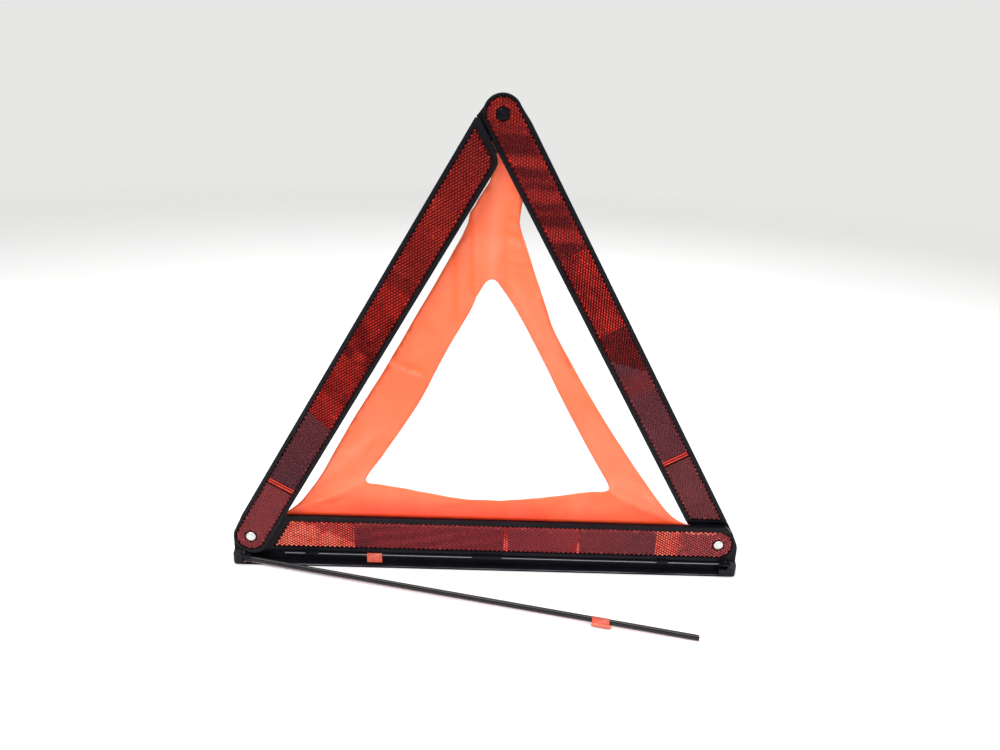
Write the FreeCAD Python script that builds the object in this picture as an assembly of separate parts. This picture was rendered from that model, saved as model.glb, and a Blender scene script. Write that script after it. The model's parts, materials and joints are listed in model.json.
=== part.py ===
import FreeCAD, Part
import math
import os

# Folding warning triangle, millimetres: a base and two arms carrying reflector lenses, on four
# fold-out legs. +X is to the right seen from the front, +Y to the back, +Z up.
# Origin: on the ground, mid-width, in the plane of the base's front rim (Y = 0).

os.makedirs("parts", exist_ok=True)
Vector = FreeCAD.Vector

# ---- triangle and slabs ----
SPAN = 410.0            # pivot to pivot; the three arm axes make an equilateral triangle
PIVOT_Z = 28.0
COS60, SIN60 = 0.5, math.sqrt(3) / 2
LEFT_PIVOT = (-SPAN / 2, PIVOT_Z)
RIGHT_PIVOT = (SPAN / 2, PIVOT_Z)
APEX = (0.0, PIVOT_Z + SPAN * SIN60)

SLAB = 5.4              # thickness of each arm and of the base plate
MID_Y = SLAB / 2
LEFT_Y = -6.0           # front of the left arm at its pivot
RIGHT_Y = 6.4           # front of the right arm at its pivot
FRONT_Y = {"left": LEFT_Y, "base": 0.0, "right": RIGHT_Y}
# Degrees about X: the left arm leans back and the right arm forward, nearly meeting at the top
LEAN_DEG = {"left": -0.5, "right": 0.5}

# Each arm's (x, z) start and directions: "along" its axis, "outward" from the triangle
AXES = {
    "left": (LEFT_PIVOT, (COS60, SIN60), (-SIN60, COS60)),
    "right": (APEX, (COS60, -SIN60), (SIN60, COS60)),
    "base": (RIGHT_PIVOT, (-1.0, 0.0), (0.0, -1.0)),
}

# ---- arm trays ----
ARM_HALF_W = 16.0
HEAD_HALF_W = 14.8      # round end, a little slimmer than the sides
HEAD_CORNER = HEAD_HALF_W - 0.02
LEFT_HEAD_CORNER = 13.0     # inner corner of the left arm's round end
TAPER_START, TAPER_END = 3, 15      # where the head widens to the full width
TAPER_BLEND = 40
ARM_EDGE_R = 0.7
LEFT_END = 17.6         # left arm's far end, distance from the right arm's axis
RIGHT_END = 19.5        # right arm's tray end, distance from the base's axis
POCKET = 2.8            # depth of the lens pocket
FLOOR = 1.2             # tray floor behind it
RECESS_START, RECESS_END = 14.0, 372.0      # run of rear recesses along an arm
RECESS_COUNT = 8
RECESS_HALF_W = 13.6
ARM_RIB = 1.4           # rib between two rear recesses
RECESS_CORNER = 1.5
FOOT_HALF_W = 15.9      # thinner foot of the right arm
FOOT_OVERLAP = 6

# ---- lenses ----
LENS_HALF_W = 12.7
LENS_END = 21.3         # far end, distance from the next arm's axis
LENS_PROUD = 0.2        # stands proud of its rim
LENS_GAP = 0.1          # pocket clearance all round
LENS_BACK_GAP = 0.02
LENS_EDGE_R = 0.35
LENS_HOLE_R = 4.7
LENS_OUTER_CORNER = 0.8
LENS_INNER_CORNER = {"left": 6.5, "right": 0.8, "base": 0.8}
LENS_INNER_HALF_W = {"left": LENS_HALF_W, "right": LENS_HALF_W, "base": 13.5}

# ---- pivots ----
RIVET_R = 2.0
RUN = 0.05              # running clearance on radius
BOSS_R = 4.5
BOSS_BACK = POCKET + 0.1
LEFT_TAIL_Y = 4.25      # where the formed rivet tails start
RIGHT_TAIL_Y = RIGHT_Y + 4.75

# ---- base, its foot blocks and leg channels ----
HALF_X = 222.0
TOP_Z = 45.3
SHELF = 6.0             # how far the bottom flange stands out, front and rear
FLANGE = 0.8            # its thickness
CHANNEL_TOP = 11.9
CHANNEL_DEEP = 1.6
BLOCK_X = 206.5         # inner end of a foot block
BLOCK_OUT = 6.6         # how far a block stands out, front and rear
BLOCK_GAP = 0.15
BASE_RECESS_COUNT = 8
BASE_RECESS_PITCH = 46.0
BASE_HALF_RIB = 0.8
SPIGOT_HALF_X, SPIGOT_HALF_Y = 3.9, 1.35

# ---- legs ----
LEG_LEN = 390.7
LEG_T = 0.5
LEG_BOW = 0.15          # depth of a leg's curved section, per unit of its height
LEG_ROOT = 1.5          # the strip starts this far from its pin
LOW_Z, LOW_H = 1.1, 5.8     # underside and height of the low legs
HIGH_Z, HIGH_H = 7.4, 3.7   # the same of the high legs
PIN_X = 213.0
PIN_R = 1.2
PIN_Z0, PIN_Z1 = 0.35, 12.2
OUTER_Y = -2.9          # front pin nearest the outside of the channel, low leg
INNER_Y = -0.9          # front pin nearest the plate, high leg
REAR_OUTER_Y = SLAB - OUTER_Y
REST_DEG = 13.8         # the front left leg stands open by this much
LOW_TAB_AT, HIGH_TAB_AT = 314.0, 312.0      # tab centre, distance from the pin
TAB_LEN = 14.0
TAB_WALL = 0.22

# ---- sheet ----
SHEET_Y, SHEET_T = 4.6, 0.4
STUD_XS = [80.0 * i for i in range(-2, 3)]
STUD_Z = 37.5
STUD_R = 1.2


# ---- helpers ----
def outline_wire(corners, y):
    """Closed wire in the plane Y=y through (x, z, corner radius) rows."""
    points = [Vector(x, y, z) for x, z, radius in corners]
    count = len(points)
    bends = []          # (start, middle, end) of each corner; middle is None where it is sharp
    for i, (x, z, radius) in enumerate(corners):
        corner = points[i]
        if radius <= 0:
            bends.append((corner, None, corner))
            continue
        to_last = (points[i - 1] - corner).normalize()
        to_next = (points[(i + 1) % count] - corner).normalize()
        half_angle = to_last.getAngle(to_next) / 2
        setback = radius / math.tan(half_angle)
        bisector = (to_last + to_next).normalize()
        middle = corner + bisector * (radius / math.sin(half_angle) - radius)
        bends.append((corner + to_last * setback, middle, corner + to_next * setback))
    edges = []
    for i, (start, middle, end) in enumerate(bends):
        if middle is not None:
            edges.append(Part.Arc(start, middle, end).toShape())
        next_start = bends[(i + 1) % count][0]
        if (next_start - end).Length > 1e-6:
            edges.append(Part.makeLine(end, next_start))
    return Part.Wire(Part.__sortEdges__(edges))


def prism(corners, y0, y1):
    return Part.Face(outline_wire(corners, y0)).extrude(Vector(0, y1 - y0, 0))


def box(x0, x1, y0, y1, z0, z1):
    return Part.makeBox(x1 - x0, y1 - y0, z1 - z0, Vector(x0, y0, z0))


def cyl_y(x, z, radius, y0, y1):
    return Part.makeCylinder(radius, y1 - y0, Vector(x, y0, z), Vector(0, 1, 0))


def cyl_z(x, y, radius, z0, z1):
    return Part.makeCylinder(radius, z1 - z0, Vector(x, y, z0), Vector(0, 0, 1))


def turned(x, z, profile):
    """Solid of revolution about the line through (x, z) along Y; profile is (radius, y)."""
    points = [Vector(x + radius, y, z) for radius, y in profile]
    face = Part.Face(Part.makePolygon(points + [points[0]]))
    return face.revolve(Vector(x, 0, z), Vector(0, 1, 0), 360)


def round_edges_at(shape, planes, radius):
    """Fillet every edge that lies wholly in one of the planes Y=planes."""
    edges = []
    for edge in shape.Edges:
        bounds = edge.BoundBox
        if any(abs(bounds.YMin - y) < 1e-4 and abs(bounds.YMax - y) < 1e-4 for y in planes):
            edges.append(edge)
    return shape.makeFillet(radius, edges)


def one(shape):
    """Merge split faces and unwrap a single solid."""
    shape = shape.removeSplitter()
    if len(shape.Solids) == 1:
        return shape.Solids[0]
    return shape


def washer(x, z, radius, hole_r, y0, y1):
    return one(cyl_y(x, z, radius, y0, y1).cut(cyl_y(x, z, hole_r, y0 - 1, y1 + 1)))


def rotated(shape, centre, axis, degrees):
    copy = shape.copy()
    copy.rotate(centre, axis, degrees)
    return copy


def lean(shape, arm):
    """Lean a piece with its arm, about the arm's pivot line."""
    centre = Vector(0, FRONT_Y[arm] + SLAB / 2, PIVOT_Z)
    return rotated(shape, centre, Vector(1, 0, 0), LEAN_DEG[arm])


def half_turn(shape):
    """The rear of the base repeats its front, turned half round about the middle."""
    return rotated(shape, Vector(0, MID_Y, 0), Vector(0, 0, 1), 180)


def mirrored(shape):
    return one(shape.mirror(Vector(0, 0, 0), Vector(1, 0, 0)))


def end_t(dist, w):
    """Distance along an arm, at offset w, to the line dist away from the next arm's axis."""
    return SPAN - (dist - COS60 * w) / SIN60


def arm_prism(arm, corners, y0, y1):
    """Prism from (t, w, corner radius) rows: t along the arm's axis, w outward from it."""
    (x, z), along, outward = AXES[arm]
    return prism([(x + t * along[0] + w * outward[0], z + t * along[1] + w * outward[1], radius)
                  for t, w, radius in corners], y0, y1)


# ---- lenses ----
def lens_outline(arm, gap, y0, y1):
    """Round about the arm's start, cut parallel to the next arm at its far end."""
    outer = LENS_HALF_W + gap
    inner = LENS_INNER_HALF_W[arm] + gap
    dist = LENS_END - gap
    return arm_prism(arm, [
        (-outer, outer, outer),
        (-outer, -inner, outer),
        (end_t(dist, -inner), -inner, LENS_INNER_CORNER[arm]),
        (end_t(dist, outer), outer, LENS_OUTER_CORNER),
    ], y0, y1)


def lens(arm):
    y = FRONT_Y[arm]
    shape = lens_outline(arm, 0, y - LENS_PROUD, y + POCKET - LENS_BACK_GAP)
    shape = round_edges_at(shape, [y - LENS_PROUD], LENS_EDGE_R)
    return one(shape.cut(cyl_y(*AXES[arm][0], LENS_HOLE_R, y - 2, y + SLAB)))


def lens_pocket(arm):
    return lens_outline(arm, LENS_GAP, FRONT_Y[arm] - 1, FRONT_Y[arm] + POCKET)


# ---- arms ----
def rear_recesses(arm):
    """Open rear of a tray between its cross ribs."""
    y = FRONT_Y[arm]
    step = (RECESS_END - RECESS_START) / RECESS_COUNT
    half_w = RECESS_HALF_W
    recesses = None
    for i in range(RECESS_COUNT):
        t0 = RECESS_START + i * step + ARM_RIB / 2
        t1 = RECESS_START + (i + 1) * step - ARM_RIB / 2
        corners = [(t0, -half_w), (t1, -half_w), (t1, half_w), (t0, half_w)]
        recess = arm_prism(arm, [(t, w, RECESS_CORNER) for t, w in corners],
                           y + POCKET + FLOOR, y + SLAB + 1)
        recesses = recess if recesses is None else recesses.fuse(recess)
    return recesses


def tray(arm, dist, inner_corner, outer_corner):
    """An arm's rounded slab; the left arm's head is fuller on its inner side."""
    y = FRONT_Y[arm]
    head, side = HEAD_HALF_W, ARM_HALF_W
    if arm == "left":
        inner_head = [(-head, -side, LEFT_HEAD_CORNER)]
    else:
        inner_head = [(-head, -head, HEAD_CORNER), (TAPER_START, -head, TAPER_BLEND),
                      (TAPER_END, -side, TAPER_BLEND)]
    slab = arm_prism(arm, [(-head, head, HEAD_CORNER)] + inner_head + [
        (end_t(dist, -side), -side, inner_corner),
        (end_t(dist, side), side, outer_corner),
        (TAPER_END, side, TAPER_BLEND),
        (TAPER_START, head, TAPER_BLEND),
    ], y, y + SLAB)
    return round_edges_at(slab, [y, y + SLAB], ARM_EDGE_R)


def left_arm_backing():
    y = LEFT_Y
    arm = tray("left", LEFT_END, 10.0, 1.2)
    arm = arm.cut(lens_pocket("left"))
    arm = arm.cut(rear_recesses("left"))
    arm = arm.fuse(cyl_y(*LEFT_PIVOT, BOSS_R, y + 0.8, y + BOSS_BACK))
    arm = arm.cut(cyl_y(*LEFT_PIVOT, RIVET_R + RUN, y - 2, y + SLAB + 2))
    return lean(one(arm), "left")


def left_arm_tongue():
    """A web across the left arm's far end and an ear behind the right arm's head."""
    ear_y0, ear_y1 = 6.2, 7.4
    web_in, web_out = -11.0, 15.6
    web_end = LEFT_END - 1.3
    ear_reach = 11.0
    root = [(end_t(LEFT_END, web_in), web_in, 0), (end_t(LEFT_END, web_out), web_out, 0)]
    web = arm_prism("left", root + [
        (end_t(web_end, web_out), web_out, 0),
        (end_t(web_end, web_in), web_in, 0),
    ], LEFT_Y + 1.2, ear_y1)
    ear = arm_prism("left", root + [
        (SPAN - 1.5, 14.4, 6.0),
        (SPAN + ear_reach, ear_reach, 10.0),
        (SPAN + ear_reach, -ear_reach, 10.0),
    ], ear_y0, ear_y1)
    stud_hole_r = 2.95
    return lean(one(web.fuse(ear).cut(cyl_y(*APEX, stud_hole_r, 0, 20))), "left")


def right_arm_backing():
    y = RIGHT_Y
    back = y + SLAB
    arm = tray("right", RIGHT_END, 1.0, 1.0)
    # thinner foot that passes behind the base to the pivot
    half_w = FOOT_HALF_W
    foot_start = RIGHT_END + FOOT_OVERLAP
    arm = arm.fuse(arm_prism("right", [
        (end_t(foot_start, -half_w), -half_w, 0),
        (SPAN + half_w, -half_w, half_w),
        (SPAN + half_w, half_w, half_w),
        (end_t(foot_start, half_w), half_w, 0),
    ], y + 1.8, back))
    arm = arm.cut(lens_pocket("right"))
    arm = arm.cut(rear_recesses("right"))
    # bosses at the apex and the pivot, their holes, and the recess for the rivet's tail
    arm = arm.fuse(cyl_y(*APEX, BOSS_R, y + 1.5, y + BOSS_BACK))
    arm = arm.fuse(cyl_y(*RIGHT_PIVOT, 6.0, y, y + 2.0))
    arm = arm.cut(cyl_y(*APEX, 2.2, y - 2, back + 2))
    arm = arm.cut(cyl_y(*RIGHT_PIVOT, RIVET_R + RUN, y - 2, back + 2))
    arm = arm.cut(cyl_y(*RIGHT_PIVOT, 5.0, y + 4.0, back + 2))
    return lean(one(arm), "right")


# ---- snap stud and rivets ----
# (radius, distance behind the right arm's front)
SNAP_STUD = [(0, 0.5), (3.4, 0.5), (4.1, 0.9), (4.1, 1.5), (2.2, 1.5), (2.2, 7.9),
             (2.8, 8.3), (2.8, 8.7), (1.8, 9.9), (0, 9.9)]
# (radius, distance behind the seat) of the domed head, then behind the tail's start
RIVET_HEAD = [(0, -1.45), (1.3, -1.38), (2.5, -1.1), (3.3, -0.75), (4.1, -0.35), (4.1, 0),
              (RIVET_R, 0)]
RIVET_TAIL = [(RIVET_R, 0), (3.1, 0), (3.1, 0.5), (2.4, 1.0), (0, 1.0)]


def snap_stud():
    """Stud through the right arm's head."""
    return lean(turned(*APEX, [(radius, RIGHT_Y + y) for radius, y in SNAP_STUD]), "right")


def snap_stud_washer():
    back = RIGHT_Y + SLAB
    return lean(washer(*APEX, 4.4, 2.25, back + 0.03, back + 0.33), "right")


def rivet(arm, pivot, seat, tail):
    profile = [(radius, seat + y) for radius, y in RIVET_HEAD]
    profile += [(radius, tail + y) for radius, y in RIVET_TAIL]
    return lean(turned(*pivot, profile), arm)


def rivet_washers():
    left = washer(*LEFT_PIVOT, 4.1, RIVET_R, LEFT_TAIL_Y - 0.78, LEFT_TAIL_Y)
    right = washer(*RIGHT_PIVOT, 4.6, RIVET_R, RIGHT_TAIL_Y - 0.7, RIGHT_TAIL_Y)
    return Part.makeCompound([lean(left, "left"), lean(right, "right")])


def arm_spacers():
    """Rings between each arm and the base."""
    radius, hole_r = 5.5, RIVET_R + 0.1
    return Part.makeCompound([
        washer(*LEFT_PIVOT, radius, hole_r, -0.50, -0.05),
        washer(*RIGHT_PIVOT, radius, hole_r, SLAB + 0.05, RIGHT_Y - 0.1),
    ])


# ---- base ----
# (x, z, corner radius)
PLATE_OUTLINE = [
    (-HALF_X, 0, 0), (HALF_X, 0, 0), (HALF_X, 27.0, 16.0), (216.8, 38.6, 16.0),
    (210.8, TOP_Z, 4.0), (-210.8, TOP_Z, 4.0), (-216.8, 38.6, 16.0), (-HALF_X, 27.0, 16.0),
]


def cut_both_ends(shape, x0, x1, *yz):
    """Cut the same box at the left and the right end."""
    shape = shape.cut(box(-x1, -x0, *yz))
    return shape.cut(box(x0, x1, *yz))


def base_body():
    base = round_edges_at(prism(PLATE_OUTLINE, 0, SLAB), [0, SLAB], 0.6)
    # corners cut away for the foot blocks
    base = cut_both_ends(base, BLOCK_X - BLOCK_GAP, HALF_X + 5, -5, 15, -5, 12.45)
    # leg channels, front and rear, over a bottom flange
    for y0, y1 in ((-5, CHANNEL_DEEP), (SLAB - CHANNEL_DEEP, SLAB + 5)):
        base = base.cut(box(-BLOCK_X - 1, BLOCK_X + 1, y0, y1, -5, CHANNEL_TOP))
    flange_x = BLOCK_X - BLOCK_GAP
    base = base.fuse(box(-flange_x, flange_x, -SHELF, SLAB + SHELF, 0, FLANGE))
    base = base.cut(lens_pocket("base"))
    base = base.fuse(cyl_y(*RIGHT_PIVOT, BOSS_R, 0.8, BOSS_BACK))
    # rebate along the rear top edge for the sheet, and ribbed recesses below it
    base = base.cut(box(-186, 186, SLAB - 1.0, SLAB + 2, 32.0, TOP_Z + 2))
    z0, z1 = 15.2, 30.4
    for i in range(BASE_RECESS_COUNT):
        start = (i - BASE_RECESS_COUNT / 2) * BASE_RECESS_PITCH
        x0, x1 = start + BASE_HALF_RIB, start + BASE_RECESS_PITCH - BASE_HALF_RIB
        corners = [(x0, z0), (x1, z0), (x1, z1), (x0, z1)]
        base = base.cut(prism([(x, z, RECESS_CORNER) for x, z in corners],
                              POCKET + FLOOR, SLAB + 1))
    # rear recess for the left rivet's tail, and the rivet holes
    base = base.cut(cyl_y(*LEFT_PIVOT, 4.6, 3.4, SLAB + 2))
    base = base.cut(lean(cyl_y(*LEFT_PIVOT, RIVET_R, -8, 12), "left"))
    base = base.cut(lean(cyl_y(*RIGHT_PIVOT, RIVET_R, -8, 18), "right"))
    # sockets for the foot blocks' spigots
    half_x, half_y = SPIGOT_HALF_X + 0.1, SPIGOT_HALF_Y + 0.05
    base = cut_both_ends(base, PIN_X - half_x, PIN_X + half_x,
                         MID_Y - half_y, MID_Y + half_y, 12.0, 14.9)
    for x in STUD_XS:
        base = base.cut(cyl_y(x, STUD_Z, STUD_R, 3.4, SLAB + 1))
    return one(base)


# ---- foot blocks: leg hinges at the two ends of the base ----
def shoulder(x, length, near, far):
    """Cutter above the slope from near to far, both (y, z), running along X."""
    top = 14
    outline = [near, far, (far[0], top), (near[0], top), near]
    face = Part.Face(Part.makePolygon([Vector(x, y, z) for y, z in outline]))
    return face.extrude(Vector(length, 0, 0))


def is_bottom_long(edge):
    bounds = edge.BoundBox
    return bounds.XLength > 5 and bounds.ZMax < 0.01


def is_outer_upright(edge):
    bounds = edge.BoundBox
    return (bounds.ZLength > 5 and bounds.XMin > HALF_X - 0.01
            and bounds.XLength < 0.01 and bounds.YLength < 0.01)


def foot_block():
    """Right-hand block: the front leg's slot is high, the rear leg's slot is low."""
    front, rear = -BLOCK_OUT, SLAB + BLOCK_OUT
    block = box(BLOCK_X, HALF_X, front, rear, 0, 11.85)
    block = one(block.fuse(box(209.6, HALF_X, front, rear, 11.8, 12.3)))
    block = block.makeFillet(1.3, [e for e in block.Edges if is_bottom_long(e)])
    block = block.makeFillet(3.0, [e for e in block.Edges if is_outer_upright(e)])
    # sloping shoulder over the low slot, and a shorter one at the front's outer end
    block = block.cut(shoulder(BLOCK_X - 1, 40, (SLAB + 0.4, 11.3), (rear + 0.2, 8.3)))
    block = block.cut(shoulder(216.2, 20, (-0.4, 12.0), (front - 0.2, 8.9)))
    # spigot on top
    block = block.fuse(box(PIN_X - SPIGOT_HALF_X, PIN_X + SPIGOT_HALF_X,
                           MID_Y - SPIGOT_HALF_Y, MID_Y + SPIGOT_HALF_Y, 12.2, 14.8))
    # slots: pin y, slot y0, y1, z0, z1
    slots = (
        (INNER_Y, front - 1, INNER_Y + 0.8, HIGH_Z - 0.15, HIGH_Z + HIGH_H + 0.15),
        (REAR_OUTER_Y, REAR_OUTER_Y - 0.8, rear + 1, LOW_Z - 0.2, LOW_Z + LOW_H + 0.15),
    )
    for pin_y, y0, y1, z0, z1 in slots:
        block = block.cut(box(BLOCK_X - 1, PIN_X + 0.8, y0, y1, z0, z1))
        block = block.cut(cyl_z(PIN_X, pin_y, 2.0, z0, z1))
        block = block.cut(cyl_z(PIN_X, pin_y, PIN_R, PIN_Z0, 20))
    return one(block)


def leg_pins():
    pins = []
    for y in (INNER_Y, REAR_OUTER_Y):
        pin = cyl_z(PIN_X, y, PIN_R, PIN_Z0, PIN_Z1)
        pins += [pin, half_turn(pin)]
    return Part.makeCompound(pins)


# ---- leg clips ----
CLIPS = [(-154.0, 11.0), (0.0, 26.0), (156.0, 10.0)]    # front clips: (x, width)


def clip(x, width):
    """A ledge over the stowed legs with a lip that hooks the upper one."""
    x0, x1 = x - width / 2, x + width / 2
    lip_front, lip_back = -2.4, -1.9
    ledge = box(x0, x1, lip_front, CHANNEL_DEEP, 11.35, CHANNEL_TOP)
    return one(ledge.fuse(box(x0, x1, lip_front, lip_back, 9.0, CHANNEL_TOP)))


# ---- legs: bowed strips on vertical pins, round side outwards ----
def leg(y, z0, height):
    """Front leg lying along +X from a pin at the left end of the base."""
    x0 = -PIN_X + LEG_ROOT
    z1 = z0 + height
    half_sag = LEG_BOW * height / 2
    strip_y = y + 0.05

    def section_points(shift):
        return [Vector(x0, strip_y + sag + shift, z) for sag, z in
                ((half_sag, z0), (-half_sag, z0 + height / 2), (half_sag, z1))]

    front = section_points(-LEG_T / 2)
    back = section_points(LEG_T / 2)
    section = Part.Wire([
        Part.Arc(*front).toShape(), Part.makeLine(front[2], back[2]),
        Part.Arc(*reversed(back)).toShape(), Part.makeLine(back[0], front[0]),
    ])
    strip = Part.Face(section).extrude(Vector(LEG_LEN - LEG_ROOT, 0, 0))
    # rounded tip; the outline stays clear of the strip elsewhere
    start, tip = -PIN_X - 5, -PIN_X + LEG_LEN
    neck = tip - 3
    strip = strip.common(prism([
        (start, z0 - 1, 0), (neck, z0 - 1, 0), (neck, z0, 0), (tip, z0, 1.2),
        (tip, z1, 1.2), (neck, z1, 0), (neck, z1 + 1, 0), (start, z1 + 1, 0),
    ], y - 3, y + 3))
    eye = cyl_z(-PIN_X, y, 1.8, z0, z1)
    return one(strip.fuse(eye).cut(cyl_z(-PIN_X, y, PIN_R + RUN, z0 - 1, z1 + 1)))


def tab(y, z0, height, where):
    """Thin sleeve wrapped round the strip."""
    x0 = -PIN_X + where - TAB_LEN / 2
    x1 = x0 + TAB_LEN
    z1 = z0 + height
    reach = LEG_BOW * height / 2 + LEG_T / 2 + 0.05
    outer_reach = reach + TAB_WALL
    outer = box(x0, x1, y - outer_reach, y + outer_reach, z0 - 0.24, z1 + TAB_WALL)
    inner = box(x0 - 1, x1 + 1, y - reach, y + reach + 0.05, z0 - 0.03, z1 + 0.03)
    return one(outer.cut(inner))


def swung(shape):
    """Open a front left piece to its resting angle."""
    return rotated(shape, Vector(-PIN_X, OUTER_Y, 0), Vector(0, 0, 1), -REST_DEG)


# ---- fluorescent sheet: a thin three-cornered ring hung in the triangle ----
# (x, z)
SHEET_OUTLINE = [
    (-178, 33), (178, 33), (176, 46), (163, 52), (127, 91), (83, 155), (37, 241), (16.5, 300),
    (15.0, 318), (-2.5, 349), (-21, 315), (-20, 300), (-83, 188), (-123, 118), (-150, 75),
    (-176, 46),
]
# (x, z, corner radius)
SHEET_HOLE = [
    (-102, 82, 5), (-50, 74, 0), (-3, 67, 0), (50, 74, 0), (99, 82, 4), (67, 145, 0),
    (33, 215, 0), (3, 256, 0), (-5, 259, 0), (-18, 240, 0), (-63, 161, 0),
]


def fluorescent_sheet():
    sheet = prism([(x, z, 0) for x, z in SHEET_OUTLINE], SHEET_Y, SHEET_Y + SHEET_T)
    sheet = sheet.cut(prism(SHEET_HOLE, SHEET_Y - 1, SHEET_Y + 2))
    for x in STUD_XS:
        sheet = sheet.cut(cyl_y(x, STUD_Z, STUD_R + 0.1, 0, 10))
    return one(sheet)


def sheet_studs():
    seat = SHEET_Y + SHEET_T + 0.03
    back = SLAB - 0.02
    profile = [(0, 3.45), (STUD_R, 3.45), (STUD_R, seat), (2.4, seat), (2.2, back), (0, back)]
    return Part.makeCompound([turned(x, STUD_Z, profile) for x in STUD_XS])


# ---- build and save ----
right_block = foot_block()
front_clips = [clip(x, width) for x, width in CLIPS]
low_leg = leg(OUTER_Y, LOW_Z, LOW_H)
low_tab = tab(OUTER_Y, LOW_Z, LOW_H, LOW_TAB_AT)
high_leg = mirrored(leg(INNER_Y, HIGH_Z, HIGH_H))
high_tab = mirrored(tab(INNER_Y, HIGH_Z, HIGH_H, HIGH_TAB_AT))

PIECES = {
    "left_arm_backing": left_arm_backing(),
    "left_arm_lens": lean(lens("left"), "left"),
    "left_arm_tongue": left_arm_tongue(),
    "right_arm_backing": right_arm_backing(),
    "right_arm_lens": lean(lens("right"), "right"),
    "snap_stud": snap_stud(),
    "snap_stud_washer": snap_stud_washer(),
    "left_pivot_rivet": rivet("left", LEFT_PIVOT, LEFT_Y + 0.78, LEFT_TAIL_Y),
    "right_pivot_rivet": rivet("right", RIGHT_PIVOT, 0.74, RIGHT_TAIL_Y),
    "rivet_washers": rivet_washers(),
    "arm_spacers": arm_spacers(),
    "base_body": base_body(),
    "base_lens": lens("base"),
    "right_foot_block": right_block,
    "left_foot_block": half_turn(right_block),
    "leg_pins": leg_pins(),
    "front_leg_clips": Part.makeCompound(front_clips),
    "rear_leg_clips": Part.makeCompound([half_turn(c) for c in front_clips]),
    "front_left_leg": swung(low_leg),
    "front_left_leg_tab": swung(low_tab),
    "front_right_leg": high_leg,
    "front_right_leg_tab": high_tab,
    "rear_right_leg": half_turn(low_leg),
    "rear_right_leg_tab": half_turn(low_tab),
    "rear_left_leg": half_turn(high_leg),
    "rear_left_leg_tab": half_turn(high_tab),
    "fluorescent_sheet": fluorescent_sheet(),
    "sheet_studs": sheet_studs(),
}
for name, piece in PIECES.items():
    piece.exportStep("parts/" + name + ".step")
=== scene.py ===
"""Folding warning triangle: two arms and a base with red cube-corner lenses, a sheet of
fluorescent film between them, and four steel legs with film tabs.

It stands upright: X to its right, -Y towards the viewer, +Z up. The base lies along X with an
arm pivot near each end, and the arms meet at the top.
"""
import bpy, bmesh, json, math, random
import numpy as np
from collections import namedtuple
from mathutils import Matrix, Vector, noise
from mathutils.geometry import delaunay_2d_cdt


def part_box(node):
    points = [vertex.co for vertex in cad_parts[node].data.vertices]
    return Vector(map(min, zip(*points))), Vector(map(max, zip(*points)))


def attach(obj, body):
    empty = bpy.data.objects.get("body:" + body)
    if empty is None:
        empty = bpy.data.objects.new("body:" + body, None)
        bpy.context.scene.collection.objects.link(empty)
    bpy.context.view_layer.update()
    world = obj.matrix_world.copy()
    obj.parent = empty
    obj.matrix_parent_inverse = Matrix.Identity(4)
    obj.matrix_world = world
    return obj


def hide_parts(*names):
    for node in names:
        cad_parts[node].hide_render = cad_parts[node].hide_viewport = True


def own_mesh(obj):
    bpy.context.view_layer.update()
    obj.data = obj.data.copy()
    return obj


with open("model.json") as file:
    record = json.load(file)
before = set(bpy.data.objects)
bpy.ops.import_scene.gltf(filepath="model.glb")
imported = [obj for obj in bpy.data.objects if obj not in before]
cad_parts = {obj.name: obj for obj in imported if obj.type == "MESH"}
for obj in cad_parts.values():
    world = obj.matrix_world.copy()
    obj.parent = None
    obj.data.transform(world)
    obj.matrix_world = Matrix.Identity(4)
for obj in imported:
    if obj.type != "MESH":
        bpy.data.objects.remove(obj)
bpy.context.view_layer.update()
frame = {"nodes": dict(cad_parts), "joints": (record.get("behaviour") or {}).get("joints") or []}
MM = 0.001
scene = bpy.context.scene
NODES = frame["nodes"]
JOINTS = {joint["name"]: joint for joint in frame["joints"]}
PIVOT_Z = JOINTS["left_arm_fold"]["pos_m"][2] / MM

# ------------------------------------------------------------------ driving sizes
SPAN = 410.0                # from one corner of the triangle to the next
SIN60 = math.sqrt(3) / 2

LENS_HALF = 12.7            # outer half width of a lens, and the radius of its round end
LENS_END = 21.3             # from the next corner to the slanting far end
LENS_HOLE = 4.7
LENS_CORNER = 0.8           # radius of the outer far corner
LENS_FACE = -2.9            # depth of the lens face in the arm's frame

CELL_FRONT = -2.05          # depth of the cells' high corners
CELL_DEPTH = 0.6
CELL_BACKING = 0.5          # material behind the deepest point
CELL_PITCH = 2.43           # centre to centre across an arm
CELL_ROW = CELL_PITCH * SIN60
CELL_LIGHT = 1.17           # how strongly the cells are lit; divides their colours

HEAD_LEVEL = -2.7           # depth the left rivet's and the stud's heads are measured from
REAR_OFFSET = 3.3           # set-back of the left rivet's tail and the tongue's ear
EAR_FRONT, EAR_BACK = 6.2 + REAR_OFFSET, 7.4 + REAR_OFFSET


# ------------------------------------------------------------------ arm frames
class Arm:
    """Own axes of an arm or the base, in mm: x along it from its round end, y outwards
    (away from the triangle's middle), z towards the back from the slab's middle."""

    def __init__(self, origin, along, outwards, back):
        self.origin, self.along = Vector(origin), Vector(along)
        self.outwards, self.back = Vector(outwards), Vector(back)

    def point(self, x, y, z):
        return self.origin + (self.along * x + self.outwards * y + self.back * z) * MM


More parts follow.
